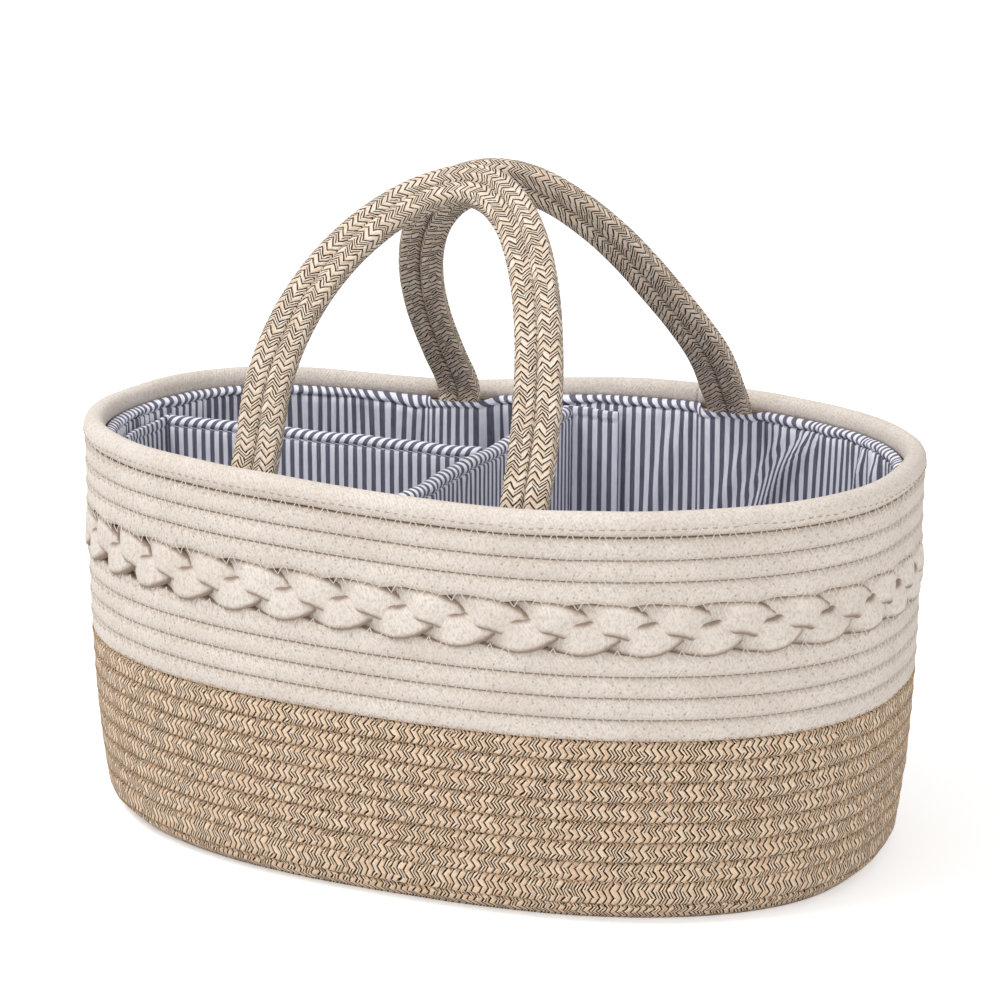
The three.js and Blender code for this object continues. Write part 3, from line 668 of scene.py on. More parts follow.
# Wall stitching: cotton thread in a zigzag over every groove, cream over the cream rows
# and tan over the brown ones. It is what holds the rows together.
def thread_material(name, colour):
    made, tree, shader, along, around = new_cloth_material(name, "length")
    turns = along * (1 / (0.9 * mm)) + around
    strand = (turns.math("FRACT") - 0.5).math("ABSOLUTE")
    body = tint(strand.ramp(0.3, 0.5), colour, deeper(colour, 0.72))
    finish_cloth(tree, shader, body, strand, 0.08 * mm)
    return made


cream_thread = thread_material("cream thread", (232, 222, 209))
tan_thread = thread_material("tan thread", (196, 164, 130))


def zigzag(name, place, outer, reach, material, size=0.21 * mm):
    """A zigzag of thread over a groove. place gives the groove's own frame."""
    loops = place[0]
    halves = int((loops[-1] - loops[0]) * stitches_a_loop * 2)
    parts = np.array([0.0, 0.12, 0.5, 0.88])
    at = (np.arange(halves)[:, None] + parts).ravel()
    swing = np.where(np.arange(halves)[:, None] % 2 == 0, 1 - 2 * parts, 2 * parts - 1).ravel()
    lift = np.tile(np.array([-0.7, -0.35, 0.2, -0.35]) * mm, halves)
    where = loops[0] + at / (stitches_a_loop * 2)
    frame_at = (np.interp(where, loops, np.broadcast_to(value, loops.shape)) for value in place[1:])
    centre, across, upward = rope_frame(where, *frame_at)
    line = centre + across * (outer + lift)[:, None] + upward * (swing * reach)[:, None]
    heading = unit(np.gradient(line, axis=0))
    side = unit(np.cross(heading, across))
    over = np.cross(side, heading)
    ways = np.linspace(0, 2 * np.pi, 6)[:-1]
    points = sweep(line, side, over, size * np.cos(ways), size * np.sin(ways))
    made = skin(name, settle(points), length_along(line), np.linspace(0, 1, 6))
    made.data.materials.append(material)
    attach(made, "basket")
    return made


def wall_seam(name, rows, bottom):
    loops, row = row_path(0, rows, False)
    z = bottom + (row + 1) * white_pitch
    place = (loops, wall_inset(loops, z), z, upright)
    seam = zigzag(name, place, 2 * bulge, stitch_reach, cream_thread)


def level_seam(name, height, reach, material, slot, outer=2 * bulge):
    loops = climb_start + np.linspace(0, 1, steps_a_loop + 1)
    z = np.full_like(loops, height)
    seam = zigzag(name, (loops, wall_inset(loops, z), z, upright), outer, reach, material)


wall_seam("stitching_lower_cream", lower_white_rows - 1, brown_top)
wall_seam("stitching_upper_cream", upper_white_rows - 1, upper_white_bottom)
level_seam("stitching_under_rim", upper_white_top, stitch_reach, cream_thread, "white_rope")
plait_seam = (2.6 * mm, cream_thread, "white_rope", 1.2 * mm)
level_seam("stitching_above_plait", upper_white_bottom, *plait_seam)
level_seam("stitching_below_plait", lower_white_top, *plait_seam)
level_seam("stitching_brown_to_cream", brown_top, stitch_reach * 0.8, tan_thread, "brown_rope")


def brown_seam():
    loops, row = row_path(1, brown_rows - 1, False)
    outer = brown_rope / 2 + 2 * bulge - 0.1 * mm
    place = (loops, *profile(loops, (row + 0.5) * brown_pitch))
    seam = zigzag("stitching_brown", place, outer, 2.6 * mm, tan_thread, 0.22 * mm)


brown_seam()

# Handles: each is two brown braided cords, side by side, stitched into one flat strap.
# Their ends go down between rope wall and lining, and the cords bend where they leave
# the rim.
handle_cord = 10.2 * mm
strap_half, strap_half_thick, foot_press = 10.1 * mm, 3.9 * mm, 2.1 * mm
handle_rise = 142 * mm
foot_straight, hinge_above_rim, tail_depth, lining_below_rim = 11 * mm, 10 * mm, 50 * mm, 10 * mm
front_lean = (math.radians(18), math.radians(53))
rear_lean = (math.radians(40.1), math.radians(32.1))
front_hinge_y, rear_hinge_y = -94.596 * mm, 85.739 * mm
hinge_height = rim_top + hinge_above_rim
lining_top = rim_top - lining_below_rim
tail_bottom = lining_top - tail_depth

handle_cotton = marled_rope(
    "handle braid", (252, 234, 214), (242, 216, 190), (28, 14, 8), 5.6, 0.95, 0.95, 1.1)


def cord_line(lean, sides, offset):
    """Centre of one cord from foot to foot, and how its strap's face leans, at its hinge."""
    (first_foot, first_power, first_splay), (last_foot, last_power, last_splay) = sides
    foot, top = lean
    bend_height = lining_top + seat_gap + handle_cord / 2 * math.tan(foot / 2)
    leaning = (hinge_height - bend_height) / math.cos(foot)
    arch_height = handle_rise - leaning - foot_straight
    lean_way = np.array([0, math.sin(foot), math.cos(foot)])
    turn = np.linspace(0, np.pi, 241)
    c, s = np.cos(turn), np.clip(np.sin(turn), 0, 1)
    power = 2 / np.where(c > 0, first_power, last_power)
    rise = (arch_height + offset) * s**power
    angle = foot + (top - foot) * rise / arch_height
    x = (np.where(c > 0, first_foot, last_foot) + offset) * rounded(c, power)
    y = arch_height * (math.cos(foot) - np.cos(angle)) / (top - foot)
    z = arch_height * (np.sin(angle) - math.sin(foot)) / (top - foot)
    arch = np.column_stack([x, y, z]) + lean_way * foot_straight
    bend = -lean_way * leaning
    tail = np.array([bend - np.array([0, 0, bend_height - tail_bottom]), bend, 0 * bend])
    start = tail + np.array([first_foot + offset, 0, 0])
    end = tail[::-1] - np.array([last_foot + offset, 0, 0])
    line = np.concatenate([start, arch, end])
    at_foot = [0, foot / 2, foot]
    angles = np.concatenate([at_foot, angle, at_foot[::-1]])
    length = length_along(line)
    even = np.linspace(0, length[-1], 420)
    line = np.column_stack([np.interp(even, length, line[:, n]) for n in range(3)])
    angles = np.interp(even, length, angles)
    for _ in range(60):
        line[1:-1] = (line[:-2] + 2 * line[1:-1] + line[2:]) / 4
        angles[1:-1] = (angles[:-2] + 2 * angles[1:-1] + angles[2:]) / 4
    # A leg can slant outward down to its foot
    splay = np.where(line[:, 0] > 0, first_splay, -last_splay)
    line[:, 0] += splay * (1 - smooth_share(line[:, 2] / (52 * mm)))
    # The ends are pressed out against the rope wall
    line[:, 1] -= foot_press * smooth_share(-line[:, 2] / (22 * mm))
    return line, angles, even


def handle_strap(side, lean, hinge_y, facing, sides):
    for cord, offset in (("outer", strap_half / 2), ("inner", -strap_half / 2)):
        line, angles, along = cord_line(lean, sides, offset)
        heading = unit(np.gradient(line, axis=0))
        face = np.column_stack([0 * angles, -np.cos(angles), np.sin(angles)])
        wide = unit(np.cross(heading, face))
        face = np.cross(wide, heading)
        a, b, around = rope_section(3.4, 20)
        half_wide = strap_half / 2 + 0.12 * mm
        half_thick = strap_half_thick * (1 + 0.02 * wander(along, 21, 40 * mm))
        points = sweep(line, face, wide, a * half_thick[:, None], b * half_wide)
        points[..., :2] *= facing
        points += np.array([0, hinge_y, hinge_height])
        # The two cords' yarns don't run in step
        out_of_step = 0.371 if cord == "inner" else 0.0
        made = skin(f"handle_{side}_{cord}_braid", points, along + out_of_step, around)
        made.data.materials.append(handle_cotton)
        hinge_height - 10 * mm
        hinge_height + 8 * mm
        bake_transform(made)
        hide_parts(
            f"handle_{side}_{cord}_cord",
            f"tail_{side}_left_{cord}", f"tail_{side}_right_{cord}",
        )


# Each foot's distance from the middle, how square that side's shoulder is, and how far
# the leg slants out
front_right, front_left = (56.2 * mm, 1.76, 0.0), (66.8 * mm, 1.71, 0.0)
rear_right, rear_left = (67.3 * mm, 1.7, 5.5 * mm), (63.5 * mm, 2.25, 0.0)
handle_strap("front", front_lean, front_hinge_y, 1, (front_right, front_left))
handle_strap("rear", rear_lean, rear_hinge_y, -1, (rear_left, rear_right))

# Lining: striped ticking sewn into a tub, a wall cloth gathered a little at its rolled top
# edge and a flat oval floor. The top edge is sewn in under the rim rope, and the wall
# cloth swells over the handle ends behind it.
lining_gap, lining_thickness = 0.5 * mm, 1.5 * mm
lining_corner = bottom_radius - brown_rope / 2 - lining_gap
lining_floor = corner_top - lining_corner + lining_thickness
foot_y = 100.553 * mm
stripe_count = 206
# The lining stays behind the plait's solids, which reach in further than its lobes do here
solid_proud, solid_crossing, solid_thick = 2 * mm, 3.5 * mm, 4 * mm
plait_depth = 2 * solid_crossing + solid_thick - solid_proud


def lining_face(loops, z, depth=0.0):
    """How far inside the rim's outline the lining's inner face stands."""
    wall_back = wall_inset(loops, z) + white_rope
    plait_back = wall_inset(loops, plait_centre) + plait_depth
    return np.maximum(wall_back, plait_back) + lining_gap + lining_thickness + depth


def plan_point(loops, inset):
    rim, out, _, _ = ray(loops)
    return rim - out * inset[..., None]


def station_where(axis, value, low, high, z, depth=0.0):
    """The place in loops, between two others, where the lining crosses a value of x or y."""
    loops = np.linspace(low, high, 2001)
    at = plan_point(loops, lining_face(loops, np.full_like(loops, z), depth))[:, axis]
    order = np.argsort(at)
    return float(np.interp(value, at[order], loops[order]))


def inner_girth():
    loops = np.linspace(0, 1, 2001)
    inner = plan_point(loops, lining_face(loops, np.full_like(loops, 140 * mm)))
    return float(length_along(inner)[-1])


inner_length = inner_girth()
stripe_pitch = inner_length / stripe_count


def ticking(name):
    """Woven ticking: slate stripes on a pale lavender white, dyed in the yarn."""
    made, tree, shader, along, up = new_cloth_material(name, "cloth")
    threads = 2 * math.pi / (0.42 * mm)
    weave = (along * threads).math("SINE") * (up * threads).math("SINE")
    slub = noise(put(tree, "CombineXYZ", along * 900, up * 130), 1.0, 3.0)
    count = along / stripe_pitch + (slub - 0.5) * 0.05
    middle = (count.math("FRACT") - 0.5).math("ABSOLUTE")
    share = slub.ramp(0.3, 0.7)
    slate = tint(share, (96, 95, 112), (112, 111, 128))
    white = tint(share, (245, 245, 253), (233, 233, 245))
    colour = tint(middle.ramp(0.23, 0.28), white, slate)
    colour = tint(weave.ramp(0.2, 1.0, 0.0, 0.12), colour, (150, 150, 165))
    shader.inputs["Sheen Weight"].default_value = 0.06
    finish_cloth(tree, shader, colour, weave * 0.5 + slub, 0.05 * mm)
    return made


striped_cloth = ticking("striped ticking")


def cloth_grid(name, points, map_lengths, closed_across=False, thickness=0.9 * mm):
    """A cloth over a grid of points. map_lengths are its flat lengths at each of them."""
    rows, columns = points.shape[:2]
    faces = quads(rows, columns, False, closed_across).reshape(-1, 4).tolist()
    made = new_piece(name, points, faces, "cloth", corners(*map_lengths))
    thick = made.modifiers.new("cloth thickness", "SOLIDIFY")
    thick.thickness, thick.offset = thickness, 0
    return made


hem_bottom = lining_top - 1.3 * mm


def fold_line(a, z, a_top, z_top, a_low, z_low, wide, high):
    """One soft fold: a ridge along a slanting line that fades at both ends."""
    share = (z_top - z) / (z_top - z_low)
    middle = a_top + (a_low - a_top) * share
    fade = smooth_share(share * 5) * smooth_share((1 - share) * 3)
    return high * fade * np.exp(-(((a - middle) / wide) ** 2))


def along_back(x):
    """How far round the lining a place behind is, right of the middle, from its x in mm."""
    return station_where(0, x * mm, 0.0, 0.25, lining_top) * inner_length


def along_right_end(y):
    return station_where(1, y * mm, -0.1, 0.1, lining_top) * inner_length


def lining_folds(a, z):
    """Slanting folds at the back right and the right end, where the tub was pushed into shape."""
    folds = 0
    # Where each starts at its top and ends below, its heights there, width and height, in mm
    for top_x, low_x, top_z, low_z, wide, high in (
        (117, 72, 168, 98, 4, 3.4), (107, 62, 160, 92, 4, 2.4), (147, 139, 167, 108, 3, 2.8),
        (84, 56, 158, 96, 3.6, 2.6), (48, 22, 165, 88, 4.5, 1.6), (104, 74, 166, 120, 3, 2.0),
    ):
        top_at, low_at = along_back(top_x), along_back(low_x)
        folds = folds + fold_line(
            a, z, top_at, top_z * mm, low_at, low_z * mm, wide * mm, high * mm)
    for y, shift, high in (
        (62, 10, 2.6), (40, 6, 2.2), (24, -5, 1.8), (8, 8, 2.6),
        (-12, -4, 1.6), (-30, 7, 2.4), (-50, -6, 2.2), (-66, 5, 1.4),
    ):
        # The cloth's map starts at this end, so a fold can lie at either side of that line
        for turn in (0, inner_length):
            at = along_right_end(y) + turn
            folds = folds + fold_line(
                a, z, at, 168 * mm, at + shift * mm, 104 * mm, 3.2 * mm, high * mm)
    return folds


def lining_map(a, heights, on_hem):
    """The wall cloth's two flat lengths, with what its tucks and its hem take up."""
    full = np.concatenate([a, [[inner_length]]], 1)
    share = full / inner_length
    # The stripes slant on the hem, the other way at the left end
    at_left_end = smooth_share((share - 0.36) / 0.06) * (1 - smooth_share((share - 0.6) / 0.06))
    u = full + (heights - hem_bottom) * on_hem * (2 * at_left_end - 1)
    # Stripes sway a little where the cloth was eased in under the rim
    for waves, shift, sway in ((9, 0.2, 1.6), (14, 0.75, 1.3), (23, 0.4, 0.9)):
        swayed = sway * mm * np.sin(2 * np.pi * (waves * share + shift))
        u = u + swayed * np.clip((heights - 60 * mm) / (110 * mm), 0, 1) ** 2
    # Slanting tucks, each of which takes up whole stripes
    at_end = along_right_end(40)
    for top_at, low_at, stripes, wide in (
        (along_back(117), along_back(72), 2, 16), (along_back(147), along_back(139), 1, 8),
        (at_end, at_end + 5 * mm, 1, 9),
    ):
        middle = top_at + (low_at - top_at) * (168 * mm - heights) / (70 * mm)
        middle = np.mod(middle, inner_length)
        u = u + stripes * stripe_pitch * smooth_share((full - middle) / (wide * mm) + 0.5)
    return u, heights


def over_handle_ends(flat, z, inward):
    """Plan points moved in to leave room for the handle ends behind the cloth."""
    x, y = flat[..., 0], flat[..., 1]
    foot_x = np.where(
        y < 0,
        np.where(x < 0, front_left[0], front_right[0]),
        np.where(x < 0, rear_left[0], rear_right[0] + rear_right[2]),
    )
    away = np.maximum(np.abs(np.abs(x) - foot_x) - strap_half - 0.5 * mm, 0)
    share = (1 - smooth_share(away / (8 * mm))) * smooth_share((z - 106 * mm) / (14 * mm))
    pocket = foot_y + foot_press - strap_half_thick - 1.1 * mm - np.clip(inward, 0, None) * 0.5
    moved = np.abs(y) * (1 - share) + np.minimum(np.abs(y), pocket) * share
    return np.stack([x, np.sign(y) * moved], -1)


def lining_wall():
    loops = np.linspace(0, 1, 1201)[:-1]
    corner = np.linspace(0, np.pi / 2, 6)
    small = lining_corner - lining_thickness
    # A crease, then the rolled edge, whose top leans out to the rim rope
    roll_z = np.array([0, 0.3, 0.7, 1.2, 1.7, 2.2, 2.6, 2.9, 3.05, 3.1]) * mm
    roll_in = np.array([-1.2, 0.1, 0.8, 1.1, 1.0, 0.5, -0.3, -1.2, -2.1, -2.7]) * mm
    wall_z = np.linspace(corner_top, hem_bottom - 1.2 * mm, 46)[1:]
    corner_z = corner_top - small * np.cos(corner)
    heights = np.concatenate([corner_z, wall_z, hem_bottom + roll_z])[:, None]
    inward = np.concatenate([small - small * np.sin(corner), 0 * wall_z, roll_in])[:, None]
    a = (loops * inner_length)[None]
    z = heights + 0 * a
    # The gathered edge rises and dips a little, most of all behind the front left handle leg
    top_share = smooth_share((z - 120 * mm) / (lining_top - 120 * mm))
    edge_wave = 0.45 * mm * wander(a, 31, 40 * mm) + 0.3 * mm * wander(a, 32, 14 * mm)
    dip_at = station_where(0, -85 * mm, 0.25, 0.5, lining_top) * inner_length
    edge_wave = edge_wave - 2.4 * mm * np.exp(-(((a - dip_at) / (13 * mm)) ** 2))
    z = z + top_share**3 * edge_wave * np.clip((lining_top + 2.2 * mm - heights) / (2 * mm), 0, 1)
    on_hem = smooth_share((heights - hem_bottom) / (1 * mm))
    ruffle = 0.5 * np.cos(2 * np.pi * a / stripe_pitch) + 0.7 * wander(a, 33, 11 * mm)
    below_top = np.clip((lining_top + 2 * mm - heights) / (2 * mm), 0, 1)
    inward = inward + 0.35 * mm * on_hem * ruffle * below_top
    gather = smooth_share((heights - 146 * mm) / (18 * mm)) * (1 - on_hem)
    inward = inward + 0.5 * mm * gather * wander(a, 34, 9 * mm)
    swell = wander(a, 35, 70 * mm) * np.sin(heights / (33 * mm))
    swell = swell + wander(a, 36, 45 * mm) * np.cos(heights / (24 * mm))
    low_mask = smooth_share((heights - 20 * mm) / (40 * mm))
    inward = inward + 0.6 * mm * low_mask * (1 - on_hem) * (1 + 0.5 * swell)
    inward = inward + lining_folds(a, z) * (1 - on_hem)
    round_tub = loops[None] + 0 * z
    flat = plan_point(round_tub, lining_face(round_tub, z) + inward)
    flat = over_handle_ends(flat, z, inward)
    points = settle(np.concatenate([flat, z[..., None]], -1))
    made = cloth_grid("lining_wall_cloth", points, lining_map(a, heights, on_hem), True)
    made.data.materials.append(striped_cloth)
    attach(made, "basket")
    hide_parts("lining")
    return made


lining_cloth = lining_wall()


def lining_floor_cloth():
    columns, rows = 240, 26
    loops = np.linspace(0, 1, columns + 1)[:-1]
    small = lining_corner - lining_thickness
    edge = plan_point(loops, lining_face(loops, np.full(columns, corner_top), small))
    core = np.stack([np.clip(edge[:, 0], -core_half_length, core_half_length), 0 * edge[:, 1]], -1)
    share = np.linspace(0, 0.999, rows)[:, None, None]
    flat = edge[None] * (1 - share) + core[None] * share
    ripple = wander(flat[..., 0], 41, 60 * mm) * np.sin(flat[..., 1] / (20 * mm))
    z = lining_floor - 0.25 * mm + 0.15 * mm * ripple
    points = np.concatenate([flat, z[..., None]], -1)
    wrapped = np.concatenate([flat, flat[:, :1]], 1)
    made = cloth_grid("lining_floor_cloth", points, (wrapped[..., 0], wrapped[..., 1]), True)
    made.data.materials.append(striped_cloth)
    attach(made, "basket")
    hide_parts("lining")
    return made


floor_cloth = lining_floor_cloth()
wall_height = lining_top - lining_floor + 17 * mm

# Divider: two stiff boards in sleeves of the same ticking, sewn together in a T. Each
# sleeve has a rolled top edge with a line of stitches under it.
divider_top = rim_top - 15 * mm
divider_bottom = lining_floor + seat_gap
cross_panel_x, long_panel_y, panel_thickness = -9.5 * mm, 12 * mm, 6 * mm
tape_thickness, tab_thickness, tab_reach, end_tab_reach = 1.1 * mm, 2.5 * mm, 26 * mm, 46 * mm
tape_outer = seat_gap
hook_outer = tape_outer + tape_thickness + seat_gap
tab_outer = hook_outer + tape_thickness + seat_gap
panel_end_depth = tab_outer + tab_thickness + seat_gap
roll_height = 4.2 * mm


def wall_at(axis, value, low, high, z):
    """Where a panel's end meets the lining at a height, on the other axis."""
    place = np.array([station_where(axis, value, low, high, z, panel_end_depth)])
    spot = plan_point(place, lining_face(place, np.array([z]), panel_end_depth))
    return float(spot[0, 1 - axis])


def sleeve_side():
    """Heights up one side of a sleeve, and half its thickness at each of them."""
    rolled = divider_top - roll_height
    z = list(np.linspace(divider_bottom, rolled - 1.5 * mm, 30))
    half = [panel_thickness / 2] * 30
    z += [rolled - 0.6 * mm, rolled, rolled + 0.6 * mm]
    half += [2.85 * mm, 2.45 * mm, 2.9 * mm]
    turn = np.linspace(-0.45, 1, 8)
    radius_z = roll_height / 2
    z += list(divider_top - radius_z + radius_z * np.sin(turn * np.pi / 2))
    half += list(3.35 * mm * np.cos(turn * np.pi / 2) ** 0.8)
    return np.array(z), np.array(half)


def sleeve(name, start_low, start_high, end_low, end_high, turn_ends, place, wave_seed):
    """A cloth sleeve over a board. place puts (along, across, height) into the caddy."""
    z_side, half_side = sleeve_side()
    z = np.concatenate([z_side, z_side[::-1][1:]])
    side = np.concatenate([half_side, -half_side[::-1][1:]])
    rise = np.clip((z - corner_top) / (divider_top - corner_top), 0, 1)
    foot = np.clip(1 - (z - divider_bottom) / lining_corner, 0, 1)
    tuck = lining_corner * (1 - np.sqrt(1 - foot**2))
    start = start_low + (start_high - start_low) * rise + (tuck if turn_ends[0] else 0)
    end = end_low + (end_high - end_low) * rise - (tuck if turn_ends[1] else 0)
    # Columns crowd together at the ends, where the sleeve closes over the board's edge
    close = np.array([0.02, 0.55, 0.85, 1.0])
    near = 1.6 * mm / abs(end_high - start_high) * np.array([0, 0.15, 0.5, 1.0])
    middle = near[-1] + (1 - 2 * near[-1]) * np.linspace(0, 1, 150)[1:-1]
    spread = np.concatenate([near, middle, 1 - near[::-1]])
    narrow = np.concatenate([close, np.ones(len(middle)), close[::-1]])
    on_face = narrow > 0.9
    along = start[:, None] + (end - start)[:, None] * spread
    z, side, rolled = z[:, None], side[:, None], divider_top - roll_height
    near_stitches = np.exp(-(((z - rolled) / (5 * mm)) ** 2))
    pucker = 0.25 * mm * wander(along, wave_seed, 12 * mm) * near_stitches
    across = side * narrow + pucker * np.sign(side) * on_face
    bow = 0.5 * mm * wander(along, wave_seed + 1, 90 * mm) * smooth_share((z - 60 * mm) / (80 * mm))
    wave = 0.35 * mm * wander(along, wave_seed + 2, 55 * mm)
    height = z + wave * smooth_share((z - 120 * mm) / (40 * mm))
    points = place(along, across + bow * on_face, height)
    # The stripes slant where the cloth rolls over the top edge
    travel = length_along(np.column_stack([z, side]))[:, None]
    on_roll = smooth_share((z - rolled) / (0.8 * mm))
    slant = on_roll * (0.5 * stripe_pitch + (travel - travel[len(z_side)]) * 0.55)
    made = cloth_grid(name, points, (along + slant, travel), thickness=0.8 * mm)
    made.data.materials.append(striped_cloth)
    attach(made, "divider")
    return made


cross_low = wall_at(0, cross_panel_x, 0.25, 0.5, corner_top)
cross_high = wall_at(0, cross_panel_x, 0.25, 0.5, divider_top)
cross_sleeve = sleeve(
    "divider_cross_sleeve", -cross_low, -cross_high, cross_low, cross_high, (True, True),
    lambda along, across, z: np.stack([cross_panel_x - across, along, z], -1), 51,
)
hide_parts("divider_cross_cover")
long_end = cross_panel_x - panel_thickness / 2 - seat_gap
long_sleeve = sleeve(
    "divider_long_sleeve", wall_at(1, long_panel_y, 0.3, 0.5, corner_top),
    wall_at(1, long_panel_y, 0.3, 0.5, divider_top), long_end, long_end, (True, False),
    lambda along, across, z: np.stack([along, long_panel_y + across, z], -1), 61,
)
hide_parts("divider_long_cover")
sleeve_girth = 2 * (divider_top - divider_bottom) + panel_thickness

# Divider tabs: padded cloth flaps that turn the corner at each panel's end and lie along
# the lining, each with a strip of hook tape behind it that grips loop tape on the lining.
def tab(name, low, high, node):
    """A flap that follows the lining from one place round it to another."""
    rings = 44
    loops = np.linspace(low, high, rings)
    bottom, top = divider_bottom + 0.2 * (divider_top - divider_bottom), divider_top
    way = np.linspace(0, 2 * np.pi, 57)[:-1]
    flat_c, flat_s = rounded(np.cos(way), 0.35), rounded(np.sin(way), 0.12)
    from_end = np.minimum(np.arange(rings), np.arange(rings)[::-1]) / 3.0
    plump = np.sqrt(np.clip(from_end, 0.08, 1))
    z = (top + bottom) / 2 + (top - bottom) / 2 * flat_s
    past_roll = z - top + roll_height
    crease = 0.3 * np.exp(-(((past_roll + 0.4 * mm) / (0.7 * mm)) ** 2))
    roll = 1 + 0.35 * smooth_share(past_roll / (1 * mm)) - crease
    thick = tab_thickness / 2 * flat_c[None] * plump[:, None] * roll[None]
    depth = tab_outer + tab_thickness / 2 + np.where(thick > 0, thick, thick * 0.9)
    high_z = z[None] + 0.3 * mm * wander(loops, 71, 0.03)[:, None]
    round_tub = loops[:, None] + 0 * depth
    spots = plan_point(round_tub, lining_face(round_tub, high_z, depth))
    points = np.concatenate([spots, high_z[..., None]], -1)
    travel = length_along(np.column_stack([z, flat_c * tab_thickness / 2]))
    made = skin(name, points, loops * inner_length, np.append(travel, travel[-1] + 1 * mm))
    made.data.uv_layers["length"].name = "cloth"
    made.data.materials.append(striped_cloth)
    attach(made, "divider")
    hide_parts(node)


def tab_end(axis, value, low, high):
    return station_where(axis, value, low, high, divider_top, tab_outer)


tab("divider_flap_back", tab_end(0, cross_panel_x + tab_reach, 0.0, 0.25),
    tab_end(0, cross_panel_x - 3 * mm, 0.25, 0.5), "divider_tab_back")
tab("divider_flap_front", tab_end(0, cross_panel_x - 3 * mm, 0.5, 0.75),
    tab_end(0, cross_panel_x + tab_reach, 0.75, 1.0), "divider_tab_front")
tab("divider_flap_left", tab_end(1, long_panel_y + 3 * mm, 0.3, 0.5),
    tab_end(1, long_panel_y - end_tab_reach, 0.5, 0.7), "divider_tab_left")

# Boards and fastening tapes: plain card in the sleeves, and woven tape faced with loops or
# hooks. They keep their solids from the model.
def solid_material(name, roughness, sheen):
    """A matt material for a CAD solid, with its place in metres."""
    made = bpy.data.materials.new(name)
    made.use_nodes = True
    tree = made.node_tree
    shader = tree.nodes["Principled BSDF"]
    shader.inputs["Roughness"].default_value = roughness
    shader.inputs["Sheen Weight"].default_value = sheen
    return made, tree, shader, put(tree, "TexCoord", output="Object")


def board_material():
    made, tree, shader, place = solid_material("grey card", 0.9, 0.0)
    fibre, fleck = noise(place, 900.0, 4.0), noise(place, 240.0, 2.0)
    colour = tint(fibre.ramp(0.3, 0.7), (206, 199, 186), (188, 180, 166))
    colour = tint(fleck.ramp(0.66, 0.74), colour, (150, 140, 124))
    finish_cloth(tree, shader, colour, fibre, 0.1 * mm)
    return made


def tape_material(name, scale, depth, first, second):
    made, tree, shader, place = solid_material(name, 0.8, 0.2)
    loops = put(tree, "TexVoronoi", named={"Vector": place, "Scale": scale})
    finish_cloth(tree, shader, tint(loops.ramp(0.1, 0.6), first, second), loops, depth)
    return made


card = board_material()
hook_tape = tape_material("hook tape", 1300.0, 0.4 * mm, (236, 236, 240), (190, 190, 198))
loop_tape = tape_material("loop tape", 800.0, 0.3 * mm, (228, 228, 236), (200, 200, 212))
finishes = {"_board": card, "hook_tape": hook_tape, "loop_tape": loop_tape}
for name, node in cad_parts.items():
    for word, finish in finishes.items():
        if word in name:
            node.data.materials.clear()
            node.data.materials.append(finish)

# Stitch lines: running stitches in white thread under the rolled top edge of each divider sleeve,
# on both sides, and in brown thread round the rim rope.
def running_stitches(name, line, outward, body, thread, slot, length, gap, size):
    """Short stitches along a line of points, each dipping into the cloth at both ends."""
    travel = length_along(line)
    starts = np.arange(int(travel[-1] / (length + gap))) * (length + gap)
    marks = starts[:, None] + length * np.array([0, 0.2, 0.5, 0.8, 1.0])
    middle, out = (
        np.stack([np.interp(marks, travel, part[:, n]) for n in range(3)], -1)
        for part in (line, outward)
    )
    middle = middle + out * (np.array([-0.35, 0.08, 0.16, 0.08, -0.35]) * mm)[:, None]
    side = np.cross(unit(middle[:, -1] - middle[:, 0]), out[:, 0])
    rings, sides = 5, 5
    turn = np.linspace(0, 2 * np.pi, sides + 1)[:-1, None]
    points = middle[:, :, None] + size * (
        side[:, None, None] * np.cos(turn) + out[:, :, None] * np.sin(turn))
    first = (np.arange(len(starts)) * rings * sides)[:, None, None, None]
    faces = (first + quads(rings, sides, False, True)).reshape(-1, 4).tolist()
    uv = corners(marks[..., None], np.arange(sides + 1) / sides)
    made = new_piece(name, points, faces, "length", uv)
    made.data.materials.append(thread)
    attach(made, body)


white_thread = thread_material("white thread", (236, 236, 242))
sleeve_thread = ("divider", white_thread, "ticking_cloth", 2.1 * mm, 1.0 * mm, 0.22 * mm)
stitch_height = divider_top - roll_height - 0.2 * mm
for side, cross_side, long_side in ((1, "right", "back"), (-1, "left", "front")):
    across = side * 2.7 * mm
    y = np.linspace(-cross_high + 4 * mm, cross_high - 4 * mm, 60)
    line = np.column_stack([0 * y + cross_panel_x + across, y, 0 * y + stitch_height])
    outward = np.tile([side, 0.0, 0.0], (60, 1))
    running_stitches(f"stitches_cross_{cross_side}", line, outward, *sleeve_thread)
    x = np.linspace(-163 * mm, long_end - 3 * mm, 60)
    line = np.column_stack([x, 0 * x + long_panel_y + across, 0 * x + stitch_height])
    outward = np.tile([0.0, side, 0.0], (60, 1))
    running_stitches(f"stitches_long_{long_side}", line, outward, *sleeve_thread)

rim_thread = thread_material("brown thread", (180, 158, 136))
rim_loops = np.linspace(0, 1, 1201)
seam_drop = 1.4 * mm - 0.35 * mm * wander(rim_loops * rim_length, 81, 25 * mm)
rim_line, rim_outward, _ = rope_frame(
    rim_loops, 1.35 * mm + 0 * rim_loops, rim_centre - seam_drop, upright)
running_stitches(
    "stitches_round_rim", settle(rim_line), rim_outward, "basket", rim_thread, "white_rope",
    2.2 * mm, 1.9 * mm, 0.16 * mm)

# Studio: a white floor, a soft white surround and large soft lamps from above and in front.
white, black = [1.0, 1.0, 1.0, 1.0], [0.0, 0.0, 0.0, 1.0]


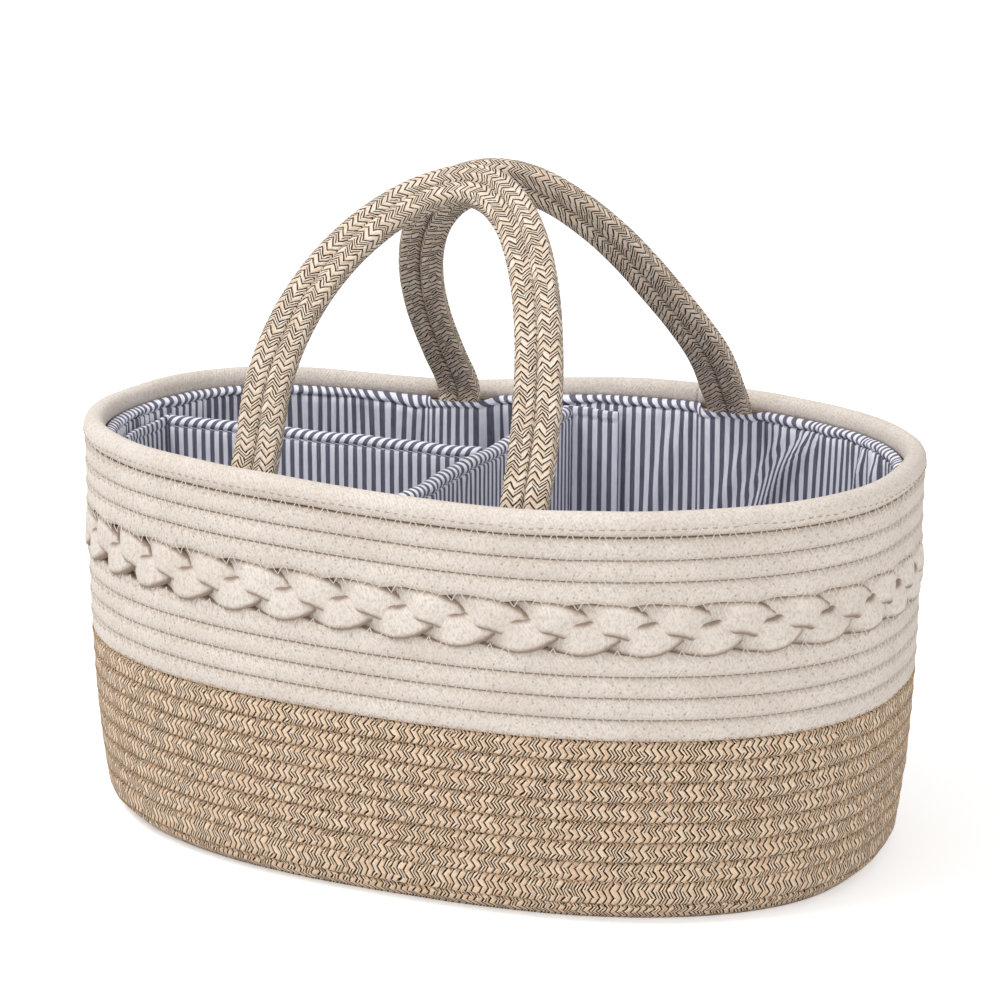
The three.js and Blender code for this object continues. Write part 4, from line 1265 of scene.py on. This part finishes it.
def studio_floor():
    mesh = bpy.data.meshes.new("studio_floor")
    half = 6.0
    edges = [(-half, -half, 0), (half, -half, 0), (half, half, 0), (-half, half, 0)]
    mesh.from_pydata(edges, [], [(0, 1, 2, 3)])
    floor = bpy.data.objects.new("studio_floor", mesh)
    bpy.context.scene.collection.objects.link(floor)
    material = bpy.data.materials.new("white floor")
    material.use_nodes = True
    tree = material.node_tree
    tree.nodes.clear()
    plain = put(tree, "BsdfDiffuse", [0.9, 0.9, 0.9, 1.0])
    # Only the camera sees this light, so the floor is white and keeps the shadow
    extra = put(
        tree, "MixShader", put(tree, "LightPath", output="Is Camera Ray"),
        put(tree, "Emission", black, 0.0), put(tree, "Emission", white, 0.41))
    end = tree.nodes.new("ShaderNodeOutputMaterial")
    fill(tree, [(end.inputs["Surface"], put(tree, "AddShader", plain, extra))])
    mesh.materials.append(material)


studio_floor()

world = bpy.data.worlds.new("white surround")
bpy.context.scene.world = world
world.use_nodes = True
tree = world.node_tree
tree.nodes.clear()
to_camera = put(tree, "LightPath", output="Is Camera Ray")
seen = to_camera.math("MAXIMUM", put(tree, "LightPath", output="Is Glossy Ray"))
mixed = put(
    tree, "MixShader", seen,
    put(tree, "Background", white, 0.66), put(tree, "Background", white, 1.0))
end = tree.nodes.new("ShaderNodeOutputWorld")
fill(tree, [(end.inputs["Surface"], mixed)])


def lamp(name, place, size, power):
    light = bpy.data.lights.new(name, "AREA")
    light.shape, light.size, light.energy = "DISK", size, power
    made = bpy.data.objects.new(name, light)
    bpy.context.scene.collection.objects.link(made)
    made.location = place
    made.rotation_mode = "QUATERNION"
    made.rotation_quaternion = (Vector((0, 0, 0.12)) - Vector(place)).to_track_quat("-Z", "Y")


lamp("key_lamp", (-0.8, -0.65, 1.7), 1.0, 19.5)
lamp("front_lamp", (1.3, -1.3, 0.9), 1.4, 8.5)

camera_data = bpy.data.cameras.new("camera")
camera = bpy.data.objects.new("camera", camera_data)
bpy.context.scene.collection.objects.link(camera)
azimuth, elevation, roll = (math.radians(angle) for angle in (23.29, 16.42, 0.216))
distance = 1.382
level = math.cos(elevation)
back = Vector((math.sin(azimuth) * level, -math.cos(azimuth) * level, math.sin(elevation)))
camera.location = back * distance + Vector((0, 0, 0.1))
camera.rotation_mode = "QUATERNION"
looking = (-back).to_track_quat("-Z", "Y")
camera.rotation_quaternion = Quaternion(back, roll) @ looking
camera_data.lens, camera_data.sensor_width = 111.77, 36.0
camera_data.shift_x, camera_data.shift_y = 0.00418, 0.09734
camera_data.clip_start, camera_data.clip_end = 0.01, 50.0
bpy.context.scene.camera = camera
bpy.context.scene.view_settings.view_transform = "Standard"
